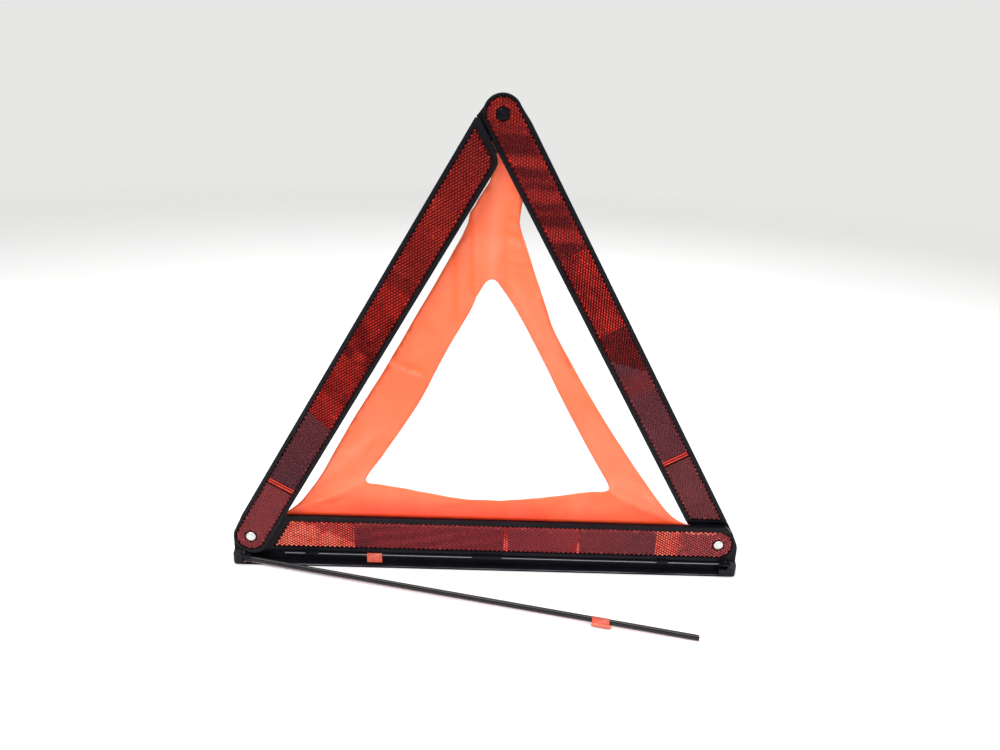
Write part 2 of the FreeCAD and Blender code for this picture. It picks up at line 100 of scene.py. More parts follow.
def make_arms():
    left, right = JOINTS["left_arm_fold"], JOINTS["right_arm_fold"]
    rightwards = Vector((1, 0, 0))
    left_back, right_back = Vector(left["axis"]).normalized(), Vector(right["axis"]).normalized()
    left_up, right_up = rightwards.cross(left_back), rightwards.cross(right_back)
    left_arm = Arm(left["pos_m"], rightwards * 0.5 + left_up * SIN60,
                   -rightwards * SIN60 + left_up * 0.5, left_back)
    descent = rightwards * 0.5 - right_up * SIN60
    right_arm = Arm(Vector(right["pos_m"]) - descent * SPAN * MM, descent,
                    rightwards * SIN60 + right_up * 0.5, right_back)
    middle_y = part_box("base_lens")[0].y - LENS_FACE * MM
    base = Arm(Vector((right["pos_m"][0], middle_y, right["pos_m"][2])), -rightwards,
               Vector((0, 0, -1)), Vector((0, 1, 0)))
    return left_arm, right_arm, base


LEFT_ARM, RIGHT_ARM, BASE = make_arms()


def end_x(distance, y):
    """x of the slanting line that lies this far before the next corner."""
    return SPAN - (distance - 0.5 * y) / SIN60


# ------------------------------------------------------------------ mesh helpers
def new_object(name, verts, faces, smooth=False):
    mesh = bpy.data.meshes.new(name)
    mesh.from_pydata([tuple(vert) for vert in verts], [], faces)
    mesh.update()
    if smooth:
        mesh.polygons.foreach_set("use_smooth", [True] * len(mesh.polygons))
    piece = bpy.data.objects.new(name, mesh)
    scene.collection.objects.link(piece)
    return piece


def fix_normals(piece):
    edit = bmesh.new()
    edit.from_mesh(piece.data)
    bmesh.ops.recalc_face_normals(edit, faces=edit.faces)
    edit.to_mesh(piece.data)
    edit.free()
    piece.data.update()


def sharpen(piece, degrees):
    """Keeps hard edges hard on a smooth-shaded mesh."""
    edit = bmesh.new()
    edit.from_mesh(piece.data)
    for edge in edit.edges:
        hard = len(edge.link_faces) == 2 and edge.calc_face_angle(0) > math.radians(degrees)
        edge.smooth = not hard
    edit.to_mesh(piece.data)
    edit.free()


def apply_modifiers(piece):
    graph = bpy.context.evaluated_depsgraph_get()
    graph.update()
    mesh = bpy.data.meshes.new_from_object(piece.evaluated_get(graph))
    piece.modifiers.clear()
    piece.data = mesh


def thicken(piece, thickness=0.10):
    """Turns a surface into a closed skin, centred on it."""
    solid = piece.modifiers.new("thickness", "SOLIDIFY")
    solid.thickness = thickness * MM
    solid.offset = 0.0
    apply_modifiers(piece)


def store_colours(piece, name, domain, colours):
    layer = piece.data.attributes.new(name, "FLOAT_COLOR", domain)
    rgba = np.array([(*colour, 1.0) for colour in colours], np.float32)
    layer.data.foreach_set("color", rgba.ravel())


def paint(piece, material):
    piece.data.materials.clear()
    piece.data.materials.append(material)


def lathe(name, arm, x, profile, segments=48):
    """Turned piece about the arm's depth axis at x; profile is (radius, z), front to back."""
    verts, faces, rings = [], [], []
    for radius, z in profile:
        start = len(verts)
        if radius < 1e-6:
            verts.append(arm.point(x, 0, z))
        else:
            for i in range(segments):
                angle = 2 * math.pi * i / segments
                verts.append(arm.point(x + radius * math.cos(angle), radius * math.sin(angle), z))
        rings.append(list(range(start, len(verts))))
    for front, back in zip(rings, rings[1:]):
        for i in range(segments):
            j = (i + 1) % segments
            if len(front) == 1:
                faces.append((front[0], back[j], back[i]))
            elif len(back) == 1:
                faces.append((front[i], front[j], back[0]))
            else:
                faces.append((front[i], front[j], back[j], back[i]))
    piece = new_object(name, verts, faces, smooth=True)
    fix_normals(piece)
    sharpen(piece, 40)
    return piece


def inside(point, polygon):
    x, y = point[0], point[1]
    hit = False
    j = len(polygon) - 1
    for i in range(len(polygon)):
        xi, yi = polygon[i]
        xj, yj = polygon[j]
        if (yi > y) != (yj > y) and x < (xj - xi) * (y - yi) / (yj - yi) + xi:
            hit = not hit
        j = i
    return hit


def triangulate(rings, loose_points, epsilon):
    """Points, (triangle, its centre) pairs and each point's source points, for the whole hull."""
    points, edges = [], []
    for ring in rings:
        start = len(points)
        points += [Vector(point) for point in ring]
        edges += [(start + i, start + (i + 1) % len(ring)) for i in range(len(ring))]
    result = delaunay_2d_cdt(points + loose_points, edges, [], 0, epsilon)
    placed, faces, sources = result[0], result[2], result[3]
    centred = [(face, sum((placed[i] for i in face), Vector((0, 0))) / len(face))
               for face in faces]
    return placed, centred, sources


def rounded(points, radii, segments):
    """2D outline with rounded corners, as a list of points."""
    arcs = []
    for i, radius in enumerate(radii):
        before, corner = Vector(points[i - 1]), Vector(points[i])
        after = Vector(points[(i + 1) % len(points)])
        to_before, to_after = (before - corner).normalized(), (after - corner).normalized()
        half = to_before.angle(to_after) / 2
        reach = radius / math.tan(half)
        centre = corner + (to_before + to_after).normalized() * (radius / math.sin(half))
        first = corner + to_before * reach - centre
        last = corner + to_after * reach - centre
        sweep = math.atan2(first.x * last.y - first.y * last.x, first.dot(last))
        for k in range(segments + 1):
            turn = sweep * k / segments
            spoke = Vector((first.x * math.cos(turn) - first.y * math.sin(turn),
                            first.x * math.sin(turn) + first.y * math.cos(turn)))
            arcs.append(tuple(centre + spoke))
    outline = []
    for point in arcs:
        if not outline or (Vector(point) - Vector(outline[-1])).length > 1e-5:
            outline.append(point)
    if (Vector(outline[0]) - Vector(outline[-1])).length < 1e-5:
        outline.pop()
    return outline


def shrink(outline, distance):
    """Moves every corner of the outline inwards along its mean normal."""
    area = sum(outline[i - 1][0] * outline[i][1] - outline[i][0] * outline[i - 1][1]
               for i in range(len(outline)))
    shift = -distance if area > 0 else distance
    moved = []
    for i in range(len(outline)):
        before, corner = Vector(outline[i - 1]), Vector(outline[i])
        after = Vector(outline[(i + 1) % len(outline)])
        edge_in, edge_out = (corner - before).normalized(), (after - corner).normalized()
        normal = Vector((edge_in.y, -edge_in.x)) + Vector((edge_out.y, -edge_out.x))
        moved.append(tuple(corner + normal.normalized() * shift))
    return moved


def plate_with_hole(name, arm, outline, hole_x, hole_radius, front, back, chamfer):
    """Closed plate from depth front to back, with a round hole and chamfered front rims."""
    def hole_ring(radius, segments=40):
        angles = [2 * math.pi * k / segments for k in range(segments)]
        return [(hole_x + radius * math.cos(a), radius * math.sin(a)) for a in angles]

    verts, faces = [], []

    def add_ring(polygon, z):
        start = len(verts)
        verts.extend(arm.point(x, y, z) for x, y in polygon)
        return list(range(start, start + len(polygon)))

    hole = hole_ring(hole_radius)
    small_outline, wide_hole = shrink(outline, chamfer), hole_ring(hole_radius + chamfer)
    front_rim, front_hole = add_ring(small_outline, front), add_ring(wide_hole, front)
    mid_rim, mid_hole = add_ring(outline, front + chamfer), add_ring(hole, front + chamfer)
    back_rim, back_hole = add_ring(outline, back), add_ring(hole, back)
    for first, second in ((front_rim, mid_rim), (mid_rim, back_rim),
                          (mid_hole, front_hole), (back_hole, mid_hole)):
        for i in range(len(first)):
            j = (i + 1) % len(first)
            faces.append((first[i], first[j], second[j], second[i]))
    for index, rim, opening in ((front_rim + front_hole, small_outline, wide_hole),
                                (back_rim + back_hole, outline, hole)):
        _, triangles, sources = triangulate([rim, opening], [], 1e-6)
        for face, centre in triangles:
            if inside(centre, rim) and math.hypot(centre.x - hole_x, centre.y) >= hole_radius:
                faces.append(tuple(index[sources[i][0]] for i in face))
    piece = new_object(name, verts, faces)
    fix_normals(piece)
    return piece


# ------------------------------------------------------------------ shader helpers
class Shader:
    """Node tree of a material or world; most methods add one node and return its output."""

    def __init__(self, owner):
        self.owner = owner
        owner.use_nodes = True
        self.tree = owner.node_tree
        self.tree.nodes.clear()

    def node(self, kind, inputs=None, **settings):
        """Adds a node; each input is either a value or a socket to link from."""
        node = self.tree.nodes.new(kind)
        for key, value in settings.items():
            setattr(node, key, value)
        for key, value in (inputs or {}).items():
            if isinstance(value, bpy.types.NodeSocket):
                self.tree.links.new(value, node.inputs[key])
            else:
                node.inputs[key].default_value = value
        return node

    def coords(self, scale=(1, 1, 1), rotation=(0, 0, 0)):
        source = self.node("ShaderNodeTexCoord").outputs["Object"]
        inputs = {"Vector": source, "Scale": scale, "Rotation": rotation}
        return self.node("ShaderNodeMapping", inputs).outputs["Vector"]

    def noise(self, place, scale, detail=3.0, rough=0.5):
        inputs = {"Vector": place, "Scale": scale, "Detail": detail, "Roughness": rough}
        return self.node("ShaderNodeTexNoise", inputs).outputs["Fac"]

    def ramp(self, value, stops):
        """Colour ramp; stops are (position, rgb)."""
        node = self.node("ShaderNodeValToRGB", {"Fac": value})
        elements = node.color_ramp.elements
        while len(elements) > 1:
            elements.remove(elements[-1])
        elements[0].position, elements[0].color = stops[0][0], (*stops[0][1], 1)
        for position, colour in stops[1:]:
            elements.new(position).color = (*colour, 1)
        return node.outputs["Color"]

    def remap(self, value, source=(0.0, 1.0), to=(0.0, 1.0), **settings):
        inputs = {"Value": value, "From Min": source[0], "From Max": source[1],
                  "To Min": to[0], "To Max": to[1]}
        return self.node("ShaderNodeMapRange", inputs, **settings).outputs["Result"]

    def math(self, operation, first, second):
        return self.node("ShaderNodeMath", {0: first, 1: second}, operation=operation).outputs[0]

    def in_band(self, value, band):
        """1 between the band's two limits, 0 elsewhere."""
        return self.math("MULTIPLY", self.math("LESS_THAN", value, band[1]),
                         self.math("GREATER_THAN", value, band[0]))

    def mix(self, factor, first, second, blend_type="MIX"):
        inputs = {"Factor": factor, 6: first, 7: second}
        return self.node("ShaderNodeMix", inputs, data_type="RGBA",
                         blend_type=blend_type).outputs[2]

    def multiply(self, first, second):
        return self.mix(1.0, first, second, "MULTIPLY")

    def attribute(self, name):
        return self.node("ShaderNodeAttribute", attribute_name=name).outputs["Color"]

    def bump(self, height, strength, distance, under=None):
        inputs = {"Height": height, "Strength": strength, "Distance": distance}
        if under:
            inputs["Normal"] = under
        return self.node("ShaderNodeBump", inputs).outputs["Normal"]

    def mix_shader(self, factor, first, second):
        return self.node("ShaderNodeMixShader", {"Fac": factor, 1: first, 2: second}).outputs[0]

    def principled(self, **inputs):
        """Principled shader; underscores in the input names stand for spaces."""
        named = {key.replace("_", " "): value for key, value in inputs.items()}
        return self.node("ShaderNodeBsdfPrincipled", named).outputs[0]

    def finish(self, surface, output="ShaderNodeOutputMaterial"):
        self.node(output, {"Surface": surface})
        return self.owner


def new_shader(name):
    return Shader(bpy.data.materials.new(name))


# ------------------------------------------------------------------ materials
BLACK, WHITE = (0, 0, 0), (1, 1, 1)


def black_plastic(name, dark=(0.0035, 0.0032, 0.0050), light=(0.0085, 0.0078, 0.0115),
                  rough=(0.26, 0.42), grain=0.10, specular=0.12, lip=None):
    """Moulded plastic: fine grain, faint flow marks, pale scuffs and uneven gloss.
    lip holds the Y and Z bands, in metres, of a painted highlight: a paler line along an edge."""
    shader = new_shader(name)
    place = shader.coords()
    flow = shader.noise(place, scale=28.0, detail=4.0, rough=0.55)
    colour = shader.ramp(flow, [(0.3, dark), (0.75, light)])
    # scuffs: thin stretched streaks, only where a second noise lets them
    stretched = shader.coords(scale=(1.0, 1.0, 14.0), rotation=(0.3, 0.5, 0.2))
    streaks = shader.noise(stretched, scale=120.0, detail=5.0, rough=0.65)
    patches = shader.noise(place, scale=16.0, detail=2.0)
    scuffs = shader.math("MULTIPLY", shader.ramp(streaks, [(0.66, BLACK), (0.74, WHITE)]),
                         shader.ramp(patches, [(0.48, BLACK), (0.62, WHITE)]))
    colour = shader.mix(scuffs, colour, (0.035, 0.034, 0.038, 1))
    if lip:
        # painted highlight: a paler line in the lip band, broken up by noise
        axes = shader.node("ShaderNodeSeparateXYZ", {0: place}).outputs
        glint_breakup = shader.remap(shader.noise(place, scale=16.0), source=(0.35, 0.6))
        edge = shader.math("MULTIPLY", shader.in_band(axes["Z"], lip["z"]),
                           shader.in_band(axes["Y"], lip["y"]))
        amount = shader.math("MULTIPLY", edge, glint_breakup)
        colour = shader.mix(amount, colour, (0.15, 0.15, 0.17, 1))
    gloss = shader.noise(place, scale=60.0, detail=4.0, rough=0.6)
    fine = shader.noise(place, scale=2600.0, detail=2.0)
    wavy = shader.noise(place, scale=90.0, detail=2.0)
    grained = shader.bump(fine, strength=grain, distance=0.00012)
    return shader.finish(shader.principled(
        Base_Color=colour,
        Roughness=shader.remap(gloss, to=rough),
        Normal=shader.bump(wavy, strength=0.10, distance=0.0006, under=grained),
        Specular_IOR_Level=specular,
        Coat_Roughness=0.12))


def lens_cells():
    """Cube-corner facets: each facet's stored colour, which carries painted reflections, glints and
    facet light and shade, under a little dust.
    """
    shader = new_shader("lens_cells")
    facet = shader.attribute("cell")
    dust = shader.noise(shader.coords(), scale=45.0, detail=5.0, rough=0.6)
    veil = shader.ramp(dust, [(0.25, (0.90, 0.90, 0.90)), (0.75, (1.08, 1.08, 1.08))])
    return shader.finish(shader.principled(
        Base_Color=shader.multiply(facet, veil), Roughness=0.5, Specular_IOR_Level=0.04))


def lens_cover():
    """Clear front of a lens, with faint smudges and hairline scratches."""
    shader = new_shader("lens_cover")
    smudges = shader.noise(shader.coords(), scale=22.0, detail=4.0, rough=0.6)
    smudged = shader.ramp(smudges, [(0.35, (1.0, 0.975, 0.975)), (0.70, (0.965, 0.930, 0.930))])
    stretched = shader.coords(scale=(3.0, 1.0, 40.0), rotation=(0.0, 0.7, 0.0))
    scratches = shader.noise(stretched, scale=160.0, detail=6.0, rough=0.7)
    scratched = shader.ramp(scratches, [(0.55, (1.0, 1.0, 1.0)), (0.75, (0.93, 0.93, 0.93))])
    clear = shader.node("ShaderNodeBsdfTransparent",
                        {"Color": shader.multiply(smudged, scratched)})
    return shader.finish(clear.outputs[0])


def lens_back():
    """Dark red body behind the cells."""
    shader = new_shader("lens_back")
    mottle = shader.noise(shader.coords(), scale=60.0, detail=4.0)
    colour = shader.ramp(mottle, [(0.3, (0.030, 0.003, 0.004)), (0.7, (0.060, 0.006, 0.007))])
    return shader.finish(shader.principled(
        Base_Color=colour, Roughness=0.5, Specular_IOR_Level=0.15))


def rolled_lines(shader):
    """Noise drawn out along a steel part's length."""
    stretched = shader.coords(scale=(0.06, 0.06, 1.0))
    return shader.noise(stretched, scale=1500.0, detail=3.0, rough=0.6)


def leg_steel(name, bands, node):
    """Blue-black tempered strip; the bands are long soft glints stacked over the node's height."""
    shader = new_shader(name)
    place = shader.coords()
    low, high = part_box(node)
    z = shader.node("ShaderNodeSeparateXYZ", {0: place}).outputs["Z"]
    height = shader.remap(z, source=(low.z, high.z))
    waver = shader.remap(shader.noise(place, scale=9.0, detail=2.0), to=(-0.06, 0.06))
    glints = shader.ramp(shader.math("ADD", height, waver), bands)
    lines = rolled_lines(shader)
    lined = shader.ramp(lines, [(0.3, (0.8, 0.8, 0.82)), (0.7, (1.2, 1.18, 1.15))])
    gloss = shader.noise(place, scale=80.0, detail=4.0)
    return shader.finish(shader.principled(
        Base_Color=shader.multiply(glints, lined),
        Specular_IOR_Level=0.14,
        Roughness=shader.remap(gloss, to=(0.20, 0.34)),
        Normal=shader.bump(lines, strength=0.2, distance=0.00005)))


def pin_steel():
    """Dark steel with rolled lines and a slight heat tint."""
    shader = new_shader("pin_steel")
    lines = rolled_lines(shader)
    dark = shader.ramp(lines, [(0.3, (0.020, 0.020, 0.022)), (0.7, (0.045, 0.044, 0.046))])
    place = shader.coords()
    heat = shader.noise(place, scale=24.0)
    tint = shader.ramp(heat, [(0.35, (0.92, 0.93, 1.05)), (0.7, (1.10, 1.0, 0.92))])
    gloss = shader.noise(place, scale=80.0, detail=4.0)
    return shader.finish(shader.principled(
        Base_Color=shader.multiply(dark, tint),
        Metallic=0.3,
        Roughness=shader.remap(gloss, to=(0.25, 0.4)),
        Normal=shader.bump(lines, strength=0.25, distance=0.00006)))


def rivet_metal():
    """Pale, slightly pitted metal."""
    shader = new_shader("rivet_metal")
    place = shader.coords()
    pits = shader.noise(place, scale=420.0, detail=4.0, rough=0.6)
    gloss = shader.noise(place, scale=900.0)
    return shader.finish(shader.principled(
        Base_Color=shader.ramp(pits, [(0.3, (0.62, 0.61, 0.58)), (0.7, (0.86, 0.85, 0.82))]),
        Metallic=0.55,
        Roughness=shader.remap(gloss, to=(0.32, 0.55)),
        Normal=shader.bump(pits, strength=0.2, distance=0.00008)))


def fluorescent(name, base, glow, lucent):
    """Fluorescent film: glossy skin with a painted glow over a translucent body; lucent is the share
    of light let through.
    """
    shader = new_shader(name)
    place = shader.coords()
    mottle = shader.noise(place, scale=30.0, detail=5.0, rough=0.6)
    deep = tuple(part * k for part, k in zip(base, (0.97, 0.90, 0.86)))
    pale = tuple(min(1.0, part * k) for part, k in zip(base, (1.02, 1.14, 1.30)))
    colour = shader.multiply(shader.ramp(mottle, [(0.3, deep), (0.72, pale)]),
                             shader.attribute("shade"))
    gloss = shader.noise(place, scale=55.0)
    ripple = shader.noise(place, scale=130.0, detail=4.0, rough=0.6)
    grain = shader.noise(place, scale=1900.0, detail=2.0)
    rippled = shader.bump(ripple, strength=0.16, distance=0.0008)
    skin = shader.principled(
        Base_Color=colour,
        # painted glow: a fixed emission, standing in for the film's fluorescence
        Emission_Color=colour,
        Emission_Strength=glow,
        Roughness=shader.remap(gloss, to=(0.13, 0.28)),
        Specular_IOR_Level=0.5,
        Normal=shader.bump(grain, strength=0.06, distance=0.0001, under=rippled))
    body = shader.node("ShaderNodeBsdfTranslucent", {"Color": colour}).outputs[0]
    return shader.finish(shader.mix_shader(lucent, skin, body))


# glints on the steel legs: (height from the strip's lower edge to its upper edge, colour)
LOW_BANDS = [
    (0.0, (0.30, 0.215, 0.235)), (0.20, (0.27, 0.19, 0.21)), (0.24, (0.012, 0.010, 0.012)),
    (0.36, (0.006, 0.006, 0.008)), (0.42, (0.030, 0.029, 0.031)), (0.60, (0.028, 0.027, 0.030)),
    (0.66, (0.005, 0.005, 0.007)), (0.80, (0.006, 0.006, 0.008)), (0.83, (0.13, 0.12, 0.115)),
    (0.89, (0.10, 0.095, 0.092)), (0.93, (0.02, 0.02, 0.022)),
]
HIGH_BANDS = [
    (0.0, (0.02, 0.02, 0.024)), (0.10, (0.006, 0.006, 0.009)), (0.50, (0.007, 0.007, 0.010)),
    (0.58, (0.10, 0.10, 0.115)), (0.64, (0.24, 0.24, 0.26)), (0.74, (0.20, 0.20, 0.22)),
    (0.80, (0.012, 0.012, 0.015)), (1.0, (0.006, 0.006, 0.008)),
]

M_BLACK = black_plastic("black_plastic")
# the lip band is a painted highlight along the flange's front top edge
M_BASE = black_plastic("base_plastic", lip={"y": (-0.0054, -0.0041), "z": (0.0006, 0.00085)})
M_BLOCK = black_plastic("block_plastic", rough=(0.20, 0.34), specular=0.16)
M_TONGUE = black_plastic("tongue_plastic", rough=(0.30, 0.46))
M_STUD = black_plastic("stud_plastic", dark=(0.0025, 0.0024, 0.0040),
                       light=(0.0055, 0.0052, 0.0085), rough=(0.18, 0.30), grain=0.03,
                       specular=0.10)
M_SPACER = black_plastic("spacer_plastic", dark=(0.02, 0.02, 0.02), light=(0.04, 0.04, 0.04),
                         rough=(0.4, 0.55))
M_CELLS = lens_cells()
M_COVER = lens_cover()
M_BACK = lens_back()
M_LOW = leg_steel("leg_steel_low", LOW_BANDS, "front_left_leg")
M_HIGH = leg_steel("leg_steel_high", HIGH_BANDS, "front_right_leg")
M_PIN = pin_steel()
M_RIVET = rivet_metal()
M_FILM = fluorescent("orange_film", base=(0.97, 0.215, 0.088), glow=0.10, lucent=0.28)
M_TAB = fluorescent("tab_film", base=(0.78, 0.105, 0.050), glow=0.04, lucent=0.10)


# ------------------------------------------------------------------ CAD pieces kept as they are
CAD_MATERIALS = [
    (M_BASE, ["base_body"]),
    (M_BLACK, ["left_arm_backing", "right_arm_backing", "front_leg_clips", "rear_leg_clips",
               "sheet_studs"]),
    (M_BLOCK, ["left_foot_block", "right_foot_block"]),
    (M_LOW, ["front_left_leg", "rear_right_leg"]),
    (M_HIGH, ["front_right_leg", "rear_left_leg"]),
    (M_PIN, ["leg_pins"]),
    (M_RIVET, ["rivet_washers"]),
    (M_SPACER, ["arm_spacers"]),
    (M_STUD, ["snap_stud_washer"]),
]


def paint_cad():
    for material, names in CAD_MATERIALS:
        for name in names:
            piece = NODES[name]
            if not piece.material_slots:
                piece.data.materials.append(material)
            for slot in piece.material_slots:
                slot.link = "OBJECT"
                slot.material = material


paint_cad()


# ------------------------------------------------------------------ colours of the lenses: painted reflections, glints and facet light and shade
# painted light of the cells: colour is painted reflection, contrast is painted light and shade
# between a cell's facets, sparkle is painted glints
Look = namedtuple("Look", "colour contrast sparkle")    # contrast is between a cell's facets


def rgb(*channels):
    """sRGB 0-255 to linear."""
    return tuple(part / 255 / 12.92 if part / 255 <= 0.04045
                 else ((part / 255 + 0.055) / 1.055) ** 2.4 for part in channels)


def mix(first, second, share):
    share = max(0.0, min(1.0, share))
    return tuple(a + (b - a) * share for a, b in zip(first, second))


def smooth(value, start, end):
    """Eases from 0 at start to 1 at end."""
    share = max(0.0, min(1.0, (value - start) / (end - start)))
    return share * share * (3 - 2 * share)


def wobble(x, y, size, seed):
    return noise.noise(Vector((x / size, y / size, seed * 17.3)))


def left_look(x, y):
    """Left lens, from its rivet upwards, in painted reflections and glints."""
    # two dull stretches of painted reflection
    if x < 60:
        share = 0.5 + wobble(x, y, 20, seed=21)
        return Look(mix(rgb(122, 58, 62), rgb(128, 58, 61), share), contrast=0.18, sparkle=0.02)
    if x < 127 + 0.25 * y:
        share = smooth(x, 60, 125) + 0.25 * wobble(x, y, 30, seed=1)
        return Look(mix(rgb(86, 50, 57), rgb(97, 50, 54), share), contrast=0.20, sparkle=0.02)
    # lively red of painted glints above them
    mottle = (0.5 + 0.9 * wobble(x - 0.6 * y, y * 0.4, 16, seed=2)
              + 0.45 * wobble(x, y, 7, seed=3))
    if x < 150:
        return Look(mix(rgb(134, 30, 27), rgb(156, 40, 34), mottle), contrast=0.72, sparkle=0.17)
    if x < 188:
        return Look(mix(rgb(108, 25, 24), rgb(148, 36, 30), mottle), contrast=0.72, sparkle=0.17)
    if x < 197:
        middle = smooth(-abs(y + 1), -8, -2)
        return Look(mix(rgb(98, 22, 22), rgb(156, 40, 32), middle), contrast=0.7, sparkle=0.18)
    if x < 258:
        # painted reflection: darker along the inner edge, brighter towards the stretch's end
        inner = smooth(-y + 3 * wobble(x, y, 8, seed=31), 1, 7) * smooth(-abs(x - 222), -18, -9)
        lift = smooth(-abs(x - 242), -14, -4)
        share = max(0.0, mottle + 0.35 * lift) * (1 - 0.75 * inner)
        return Look(mix(rgb(106, 23, 21), rgb(150, 36, 30), share), contrast=0.72, sparkle=0.17)
    if x < 268:
        return Look(mix(rgb(104, 26, 23), rgb(122, 30, 26), mottle), contrast=0.6, sparkle=0.12)
    # slanting bands of painted reflection that fade towards the top
    band = 0.5 + 0.5 * math.sin((x - 0.5 * y) / 9.5)
    colour = mix(rgb(116, 28, 25), rgb(150, 42, 35), 0.25 + 0.5 * band + 0.5 * (mottle - 0.5))
    colour = mix(colour, rgb(104, 31, 31), 0.6 * smooth(x, 340, 380))
    return Look(colour, contrast=0.62, sparkle=0.10)


# slanting bright bands of painted reflection on the right lens: (place along the arm, half width,
# strength)
RIGHT_BANDS = [(-2, 12, 0.7), (12, 3, 0.5), (38, 6, 1.0), (55, 3, 0.35), (68, 7, 0.8),
               (83, 3, 0.3), (100, 7, 0.95)]


def right_look(x, y):
    """Right lens, from the stud downwards, in painted reflections and glints: slanting bands, a
    bright stretch, then dull.
    """
    if x < 117:
        slant, drift = x - 0.62 * y, 4 * wobble(x, y, 14, seed=5)
        bright = 0.0
        for centre, half, strength in RIGHT_BANDS:
            near = smooth(-abs(slant - centre - drift) / half, -1.3, -0.4)
            bright = max(bright, strength * near)
        if y > 9 and x > 10:
            bright = max(bright, 0.35)
        return Look(mix(rgb(88, 25, 27), rgb(146, 42, 37), bright),
                    contrast=0.24 + 0.22 * bright, sparkle=0.04 + 0.07 * bright)
    if x < 188:
        share = 0.55 + 0.8 * wobble(x, y, 13, seed=6) + 0.5 * wobble(x, y, 6, seed=26)
        share *= 1.0 if y > -5 else 0.62
        share *= 0.75 + 0.5 * smooth(y, -6, 10)
        return Look(mix(rgb(108, 27, 26), rgb(150, 38, 32), share), contrast=0.75, sparkle=0.20)
    if x < 222 + 0.9 * y:
        share = 0.4 + 0.8 * wobble(x, y, 9, seed=7)
        return Look(mix(rgb(78, 24, 25), rgb(104, 28, 27), share), contrast=0.55, sparkle=0.09)
    if x < 315:
        share = 0.45 + 0.5 * wobble(x, y, 24, seed=8) + 0.3 * smooth(x, 250, 310)
        redder = smooth(x, 222, 240) * (1 - smooth(x, 240, 256))
        colour = mix(mix(rgb(88, 48, 54), rgb(99, 54, 60), share), rgb(112, 47, 50), redder)
        return Look(colour, contrast=0.18, sparkle=0.02)
    share = 0.5 + wobble(x, y, 20, seed=27)
    return Look(mix(rgb(104, 57, 61), rgb(112, 60, 63), share), contrast=0.18, sparkle=0.02)


def base_look(x, y):
    """Base lens, in painted reflections and glints, from the right rivet to the left end; y is
    positive downwards.
    """
    # painted glints: a row of brighter cells along the upper edge
    rim = 1.0 if y < -10.2 else 0.0     # a row of brighter cells along the upper edge
    if x < 31:
        share = 0.5 + 0.5 * wobble(x, y, 9, seed=9)
        colour = mix(rgb(126, 59, 62), rgb(138, 61, 63), share)
        if rim and x > 3:
            colour = mix(colour, rgb(235, 120, 100), 0.8 if int(x / 2.2) % 3 else 0.2)
        return Look(colour, contrast=0.5, sparkle=0.10)
    if x < 56:
        share = smooth(x + 5 * wobble(x, y, 4, seed=10), 31, 42)
        share *= 0.9 + 0.4 * wobble(x, y, 5, seed=11)
        return Look(mix(rgb(134, 60, 63), rgb(208, 82, 68), share),
                    contrast=0.5 + 0.45 * share, sparkle=0.10 + 0.22 * share)
    if x < 123:
        share = smooth(x, 56, 110) + 0.3 * wobble(x, y, 30, seed=19)
        colour = mix(rgb(110, 57, 63), rgb(121, 56, 61), share)
        return Look(mix(colour, rgb(150, 62, 64), 0.5 * rim), contrast=0.24, sparkle=0.02)
    if x < 125.4:
        colour = mix(rgb(134, 52, 55), rgb(214, 92, 84), smooth(y, 0, 4))
        return Look(colour, contrast=0.5, sparkle=0.15)
    if x < 187:
        share = smooth(x, 127, 165) + 0.2 * wobble(x, y, 18, seed=16)
        colour = mix(rgb(136, 58, 61), rgb(126, 52, 57), share)
        redder = 0.8 * (1 - smooth(x, 126, 133)) * smooth(y, 0, 5)
        colour = mix(colour, rgb(160, 48, 48), redder)
        return Look(mix(colour, rgb(165, 64, 66), 0.5 * rim), contrast=0.26, sparkle=0.03)
    if x < 191.5:
        colour = mix(rgb(142, 42, 44), rgb(200, 80, 72), smooth(y, -5, 5))
        return Look(colour, contrast=0.55, sparkle=0.2)
    if x < 321:
        # slanting soft streaks of painted reflection
        slant = y + 0.21 * (321 - x)
        streak = 0.5 + 0.5 * math.sin(slant * 0.55 + 1.4 * wobble(x, y, 40, seed=17))
        share = 0.5 + (streak - 0.5) * (0.5 + 0.9 * smooth(x, 205, 262))
        colour = mix(rgb(112, 43, 48), rgb(128, 49, 53), share)
        colour = mix(colour, rgb(96, 44, 50), 0.5 * smooth(x, 300, 312) * smooth(y, -8, 0))
        return Look(mix(colour, rgb(158, 66, 66), 0.55 * rim), contrast=0.24, sparkle=0.03)
    # big bright block of painted reflection, with a duller wedge running in from its upper right
    # corner
    wedge = 0.0
    if x < 372:
        wedge = smooth((-y + 2) - (x - 340) * 0.42 + 3 * wobble(x, y, 9, seed=13), 0, 5)
    mottle = 0.80 + 0.75 * wobble(x, y, 4.5, seed=14) + 0.35 * wobble(x, y, 11, seed=15)
    colour = mix(rgb(134, 48, 47), rgb(240, 94, 77), mottle * (1 - 0.85 * wedge))
    return Look(colour, contrast=0.85, sparkle=0.20)


# ------------------------------------------------------------------ lenses
# inner: inner half width; corner: radius of the inner far corner; look: colour function;
# bars: places of the ridges across the lens; gap: stretch without cells around them
# look gives each cell's painted reflection and glints
Lens = namedtuple("Lens", "arm node body seed inner corner look bars gap")
LENSES = [
    Lens(LEFT_ARM, "left_arm_lens", "left_arm", seed=11, inner=12.7, corner=6.5,
         look=left_look, bars=(56.1, 58.4), gap=(54.0, 60.2)),
    Lens(RIGHT_ARM, "right_arm_lens", "right_arm", seed=23, inner=12.7, corner=LENS_CORNER,
         look=right_look, bars=(316.3, 318.6), gap=(314.3, 320.5)),
    Lens(BASE, "base_lens", "base", seed=37, inner=13.5, corner=LENS_CORNER,
         look=base_look, bars=(), gap=(0.0, 0.0)),
]


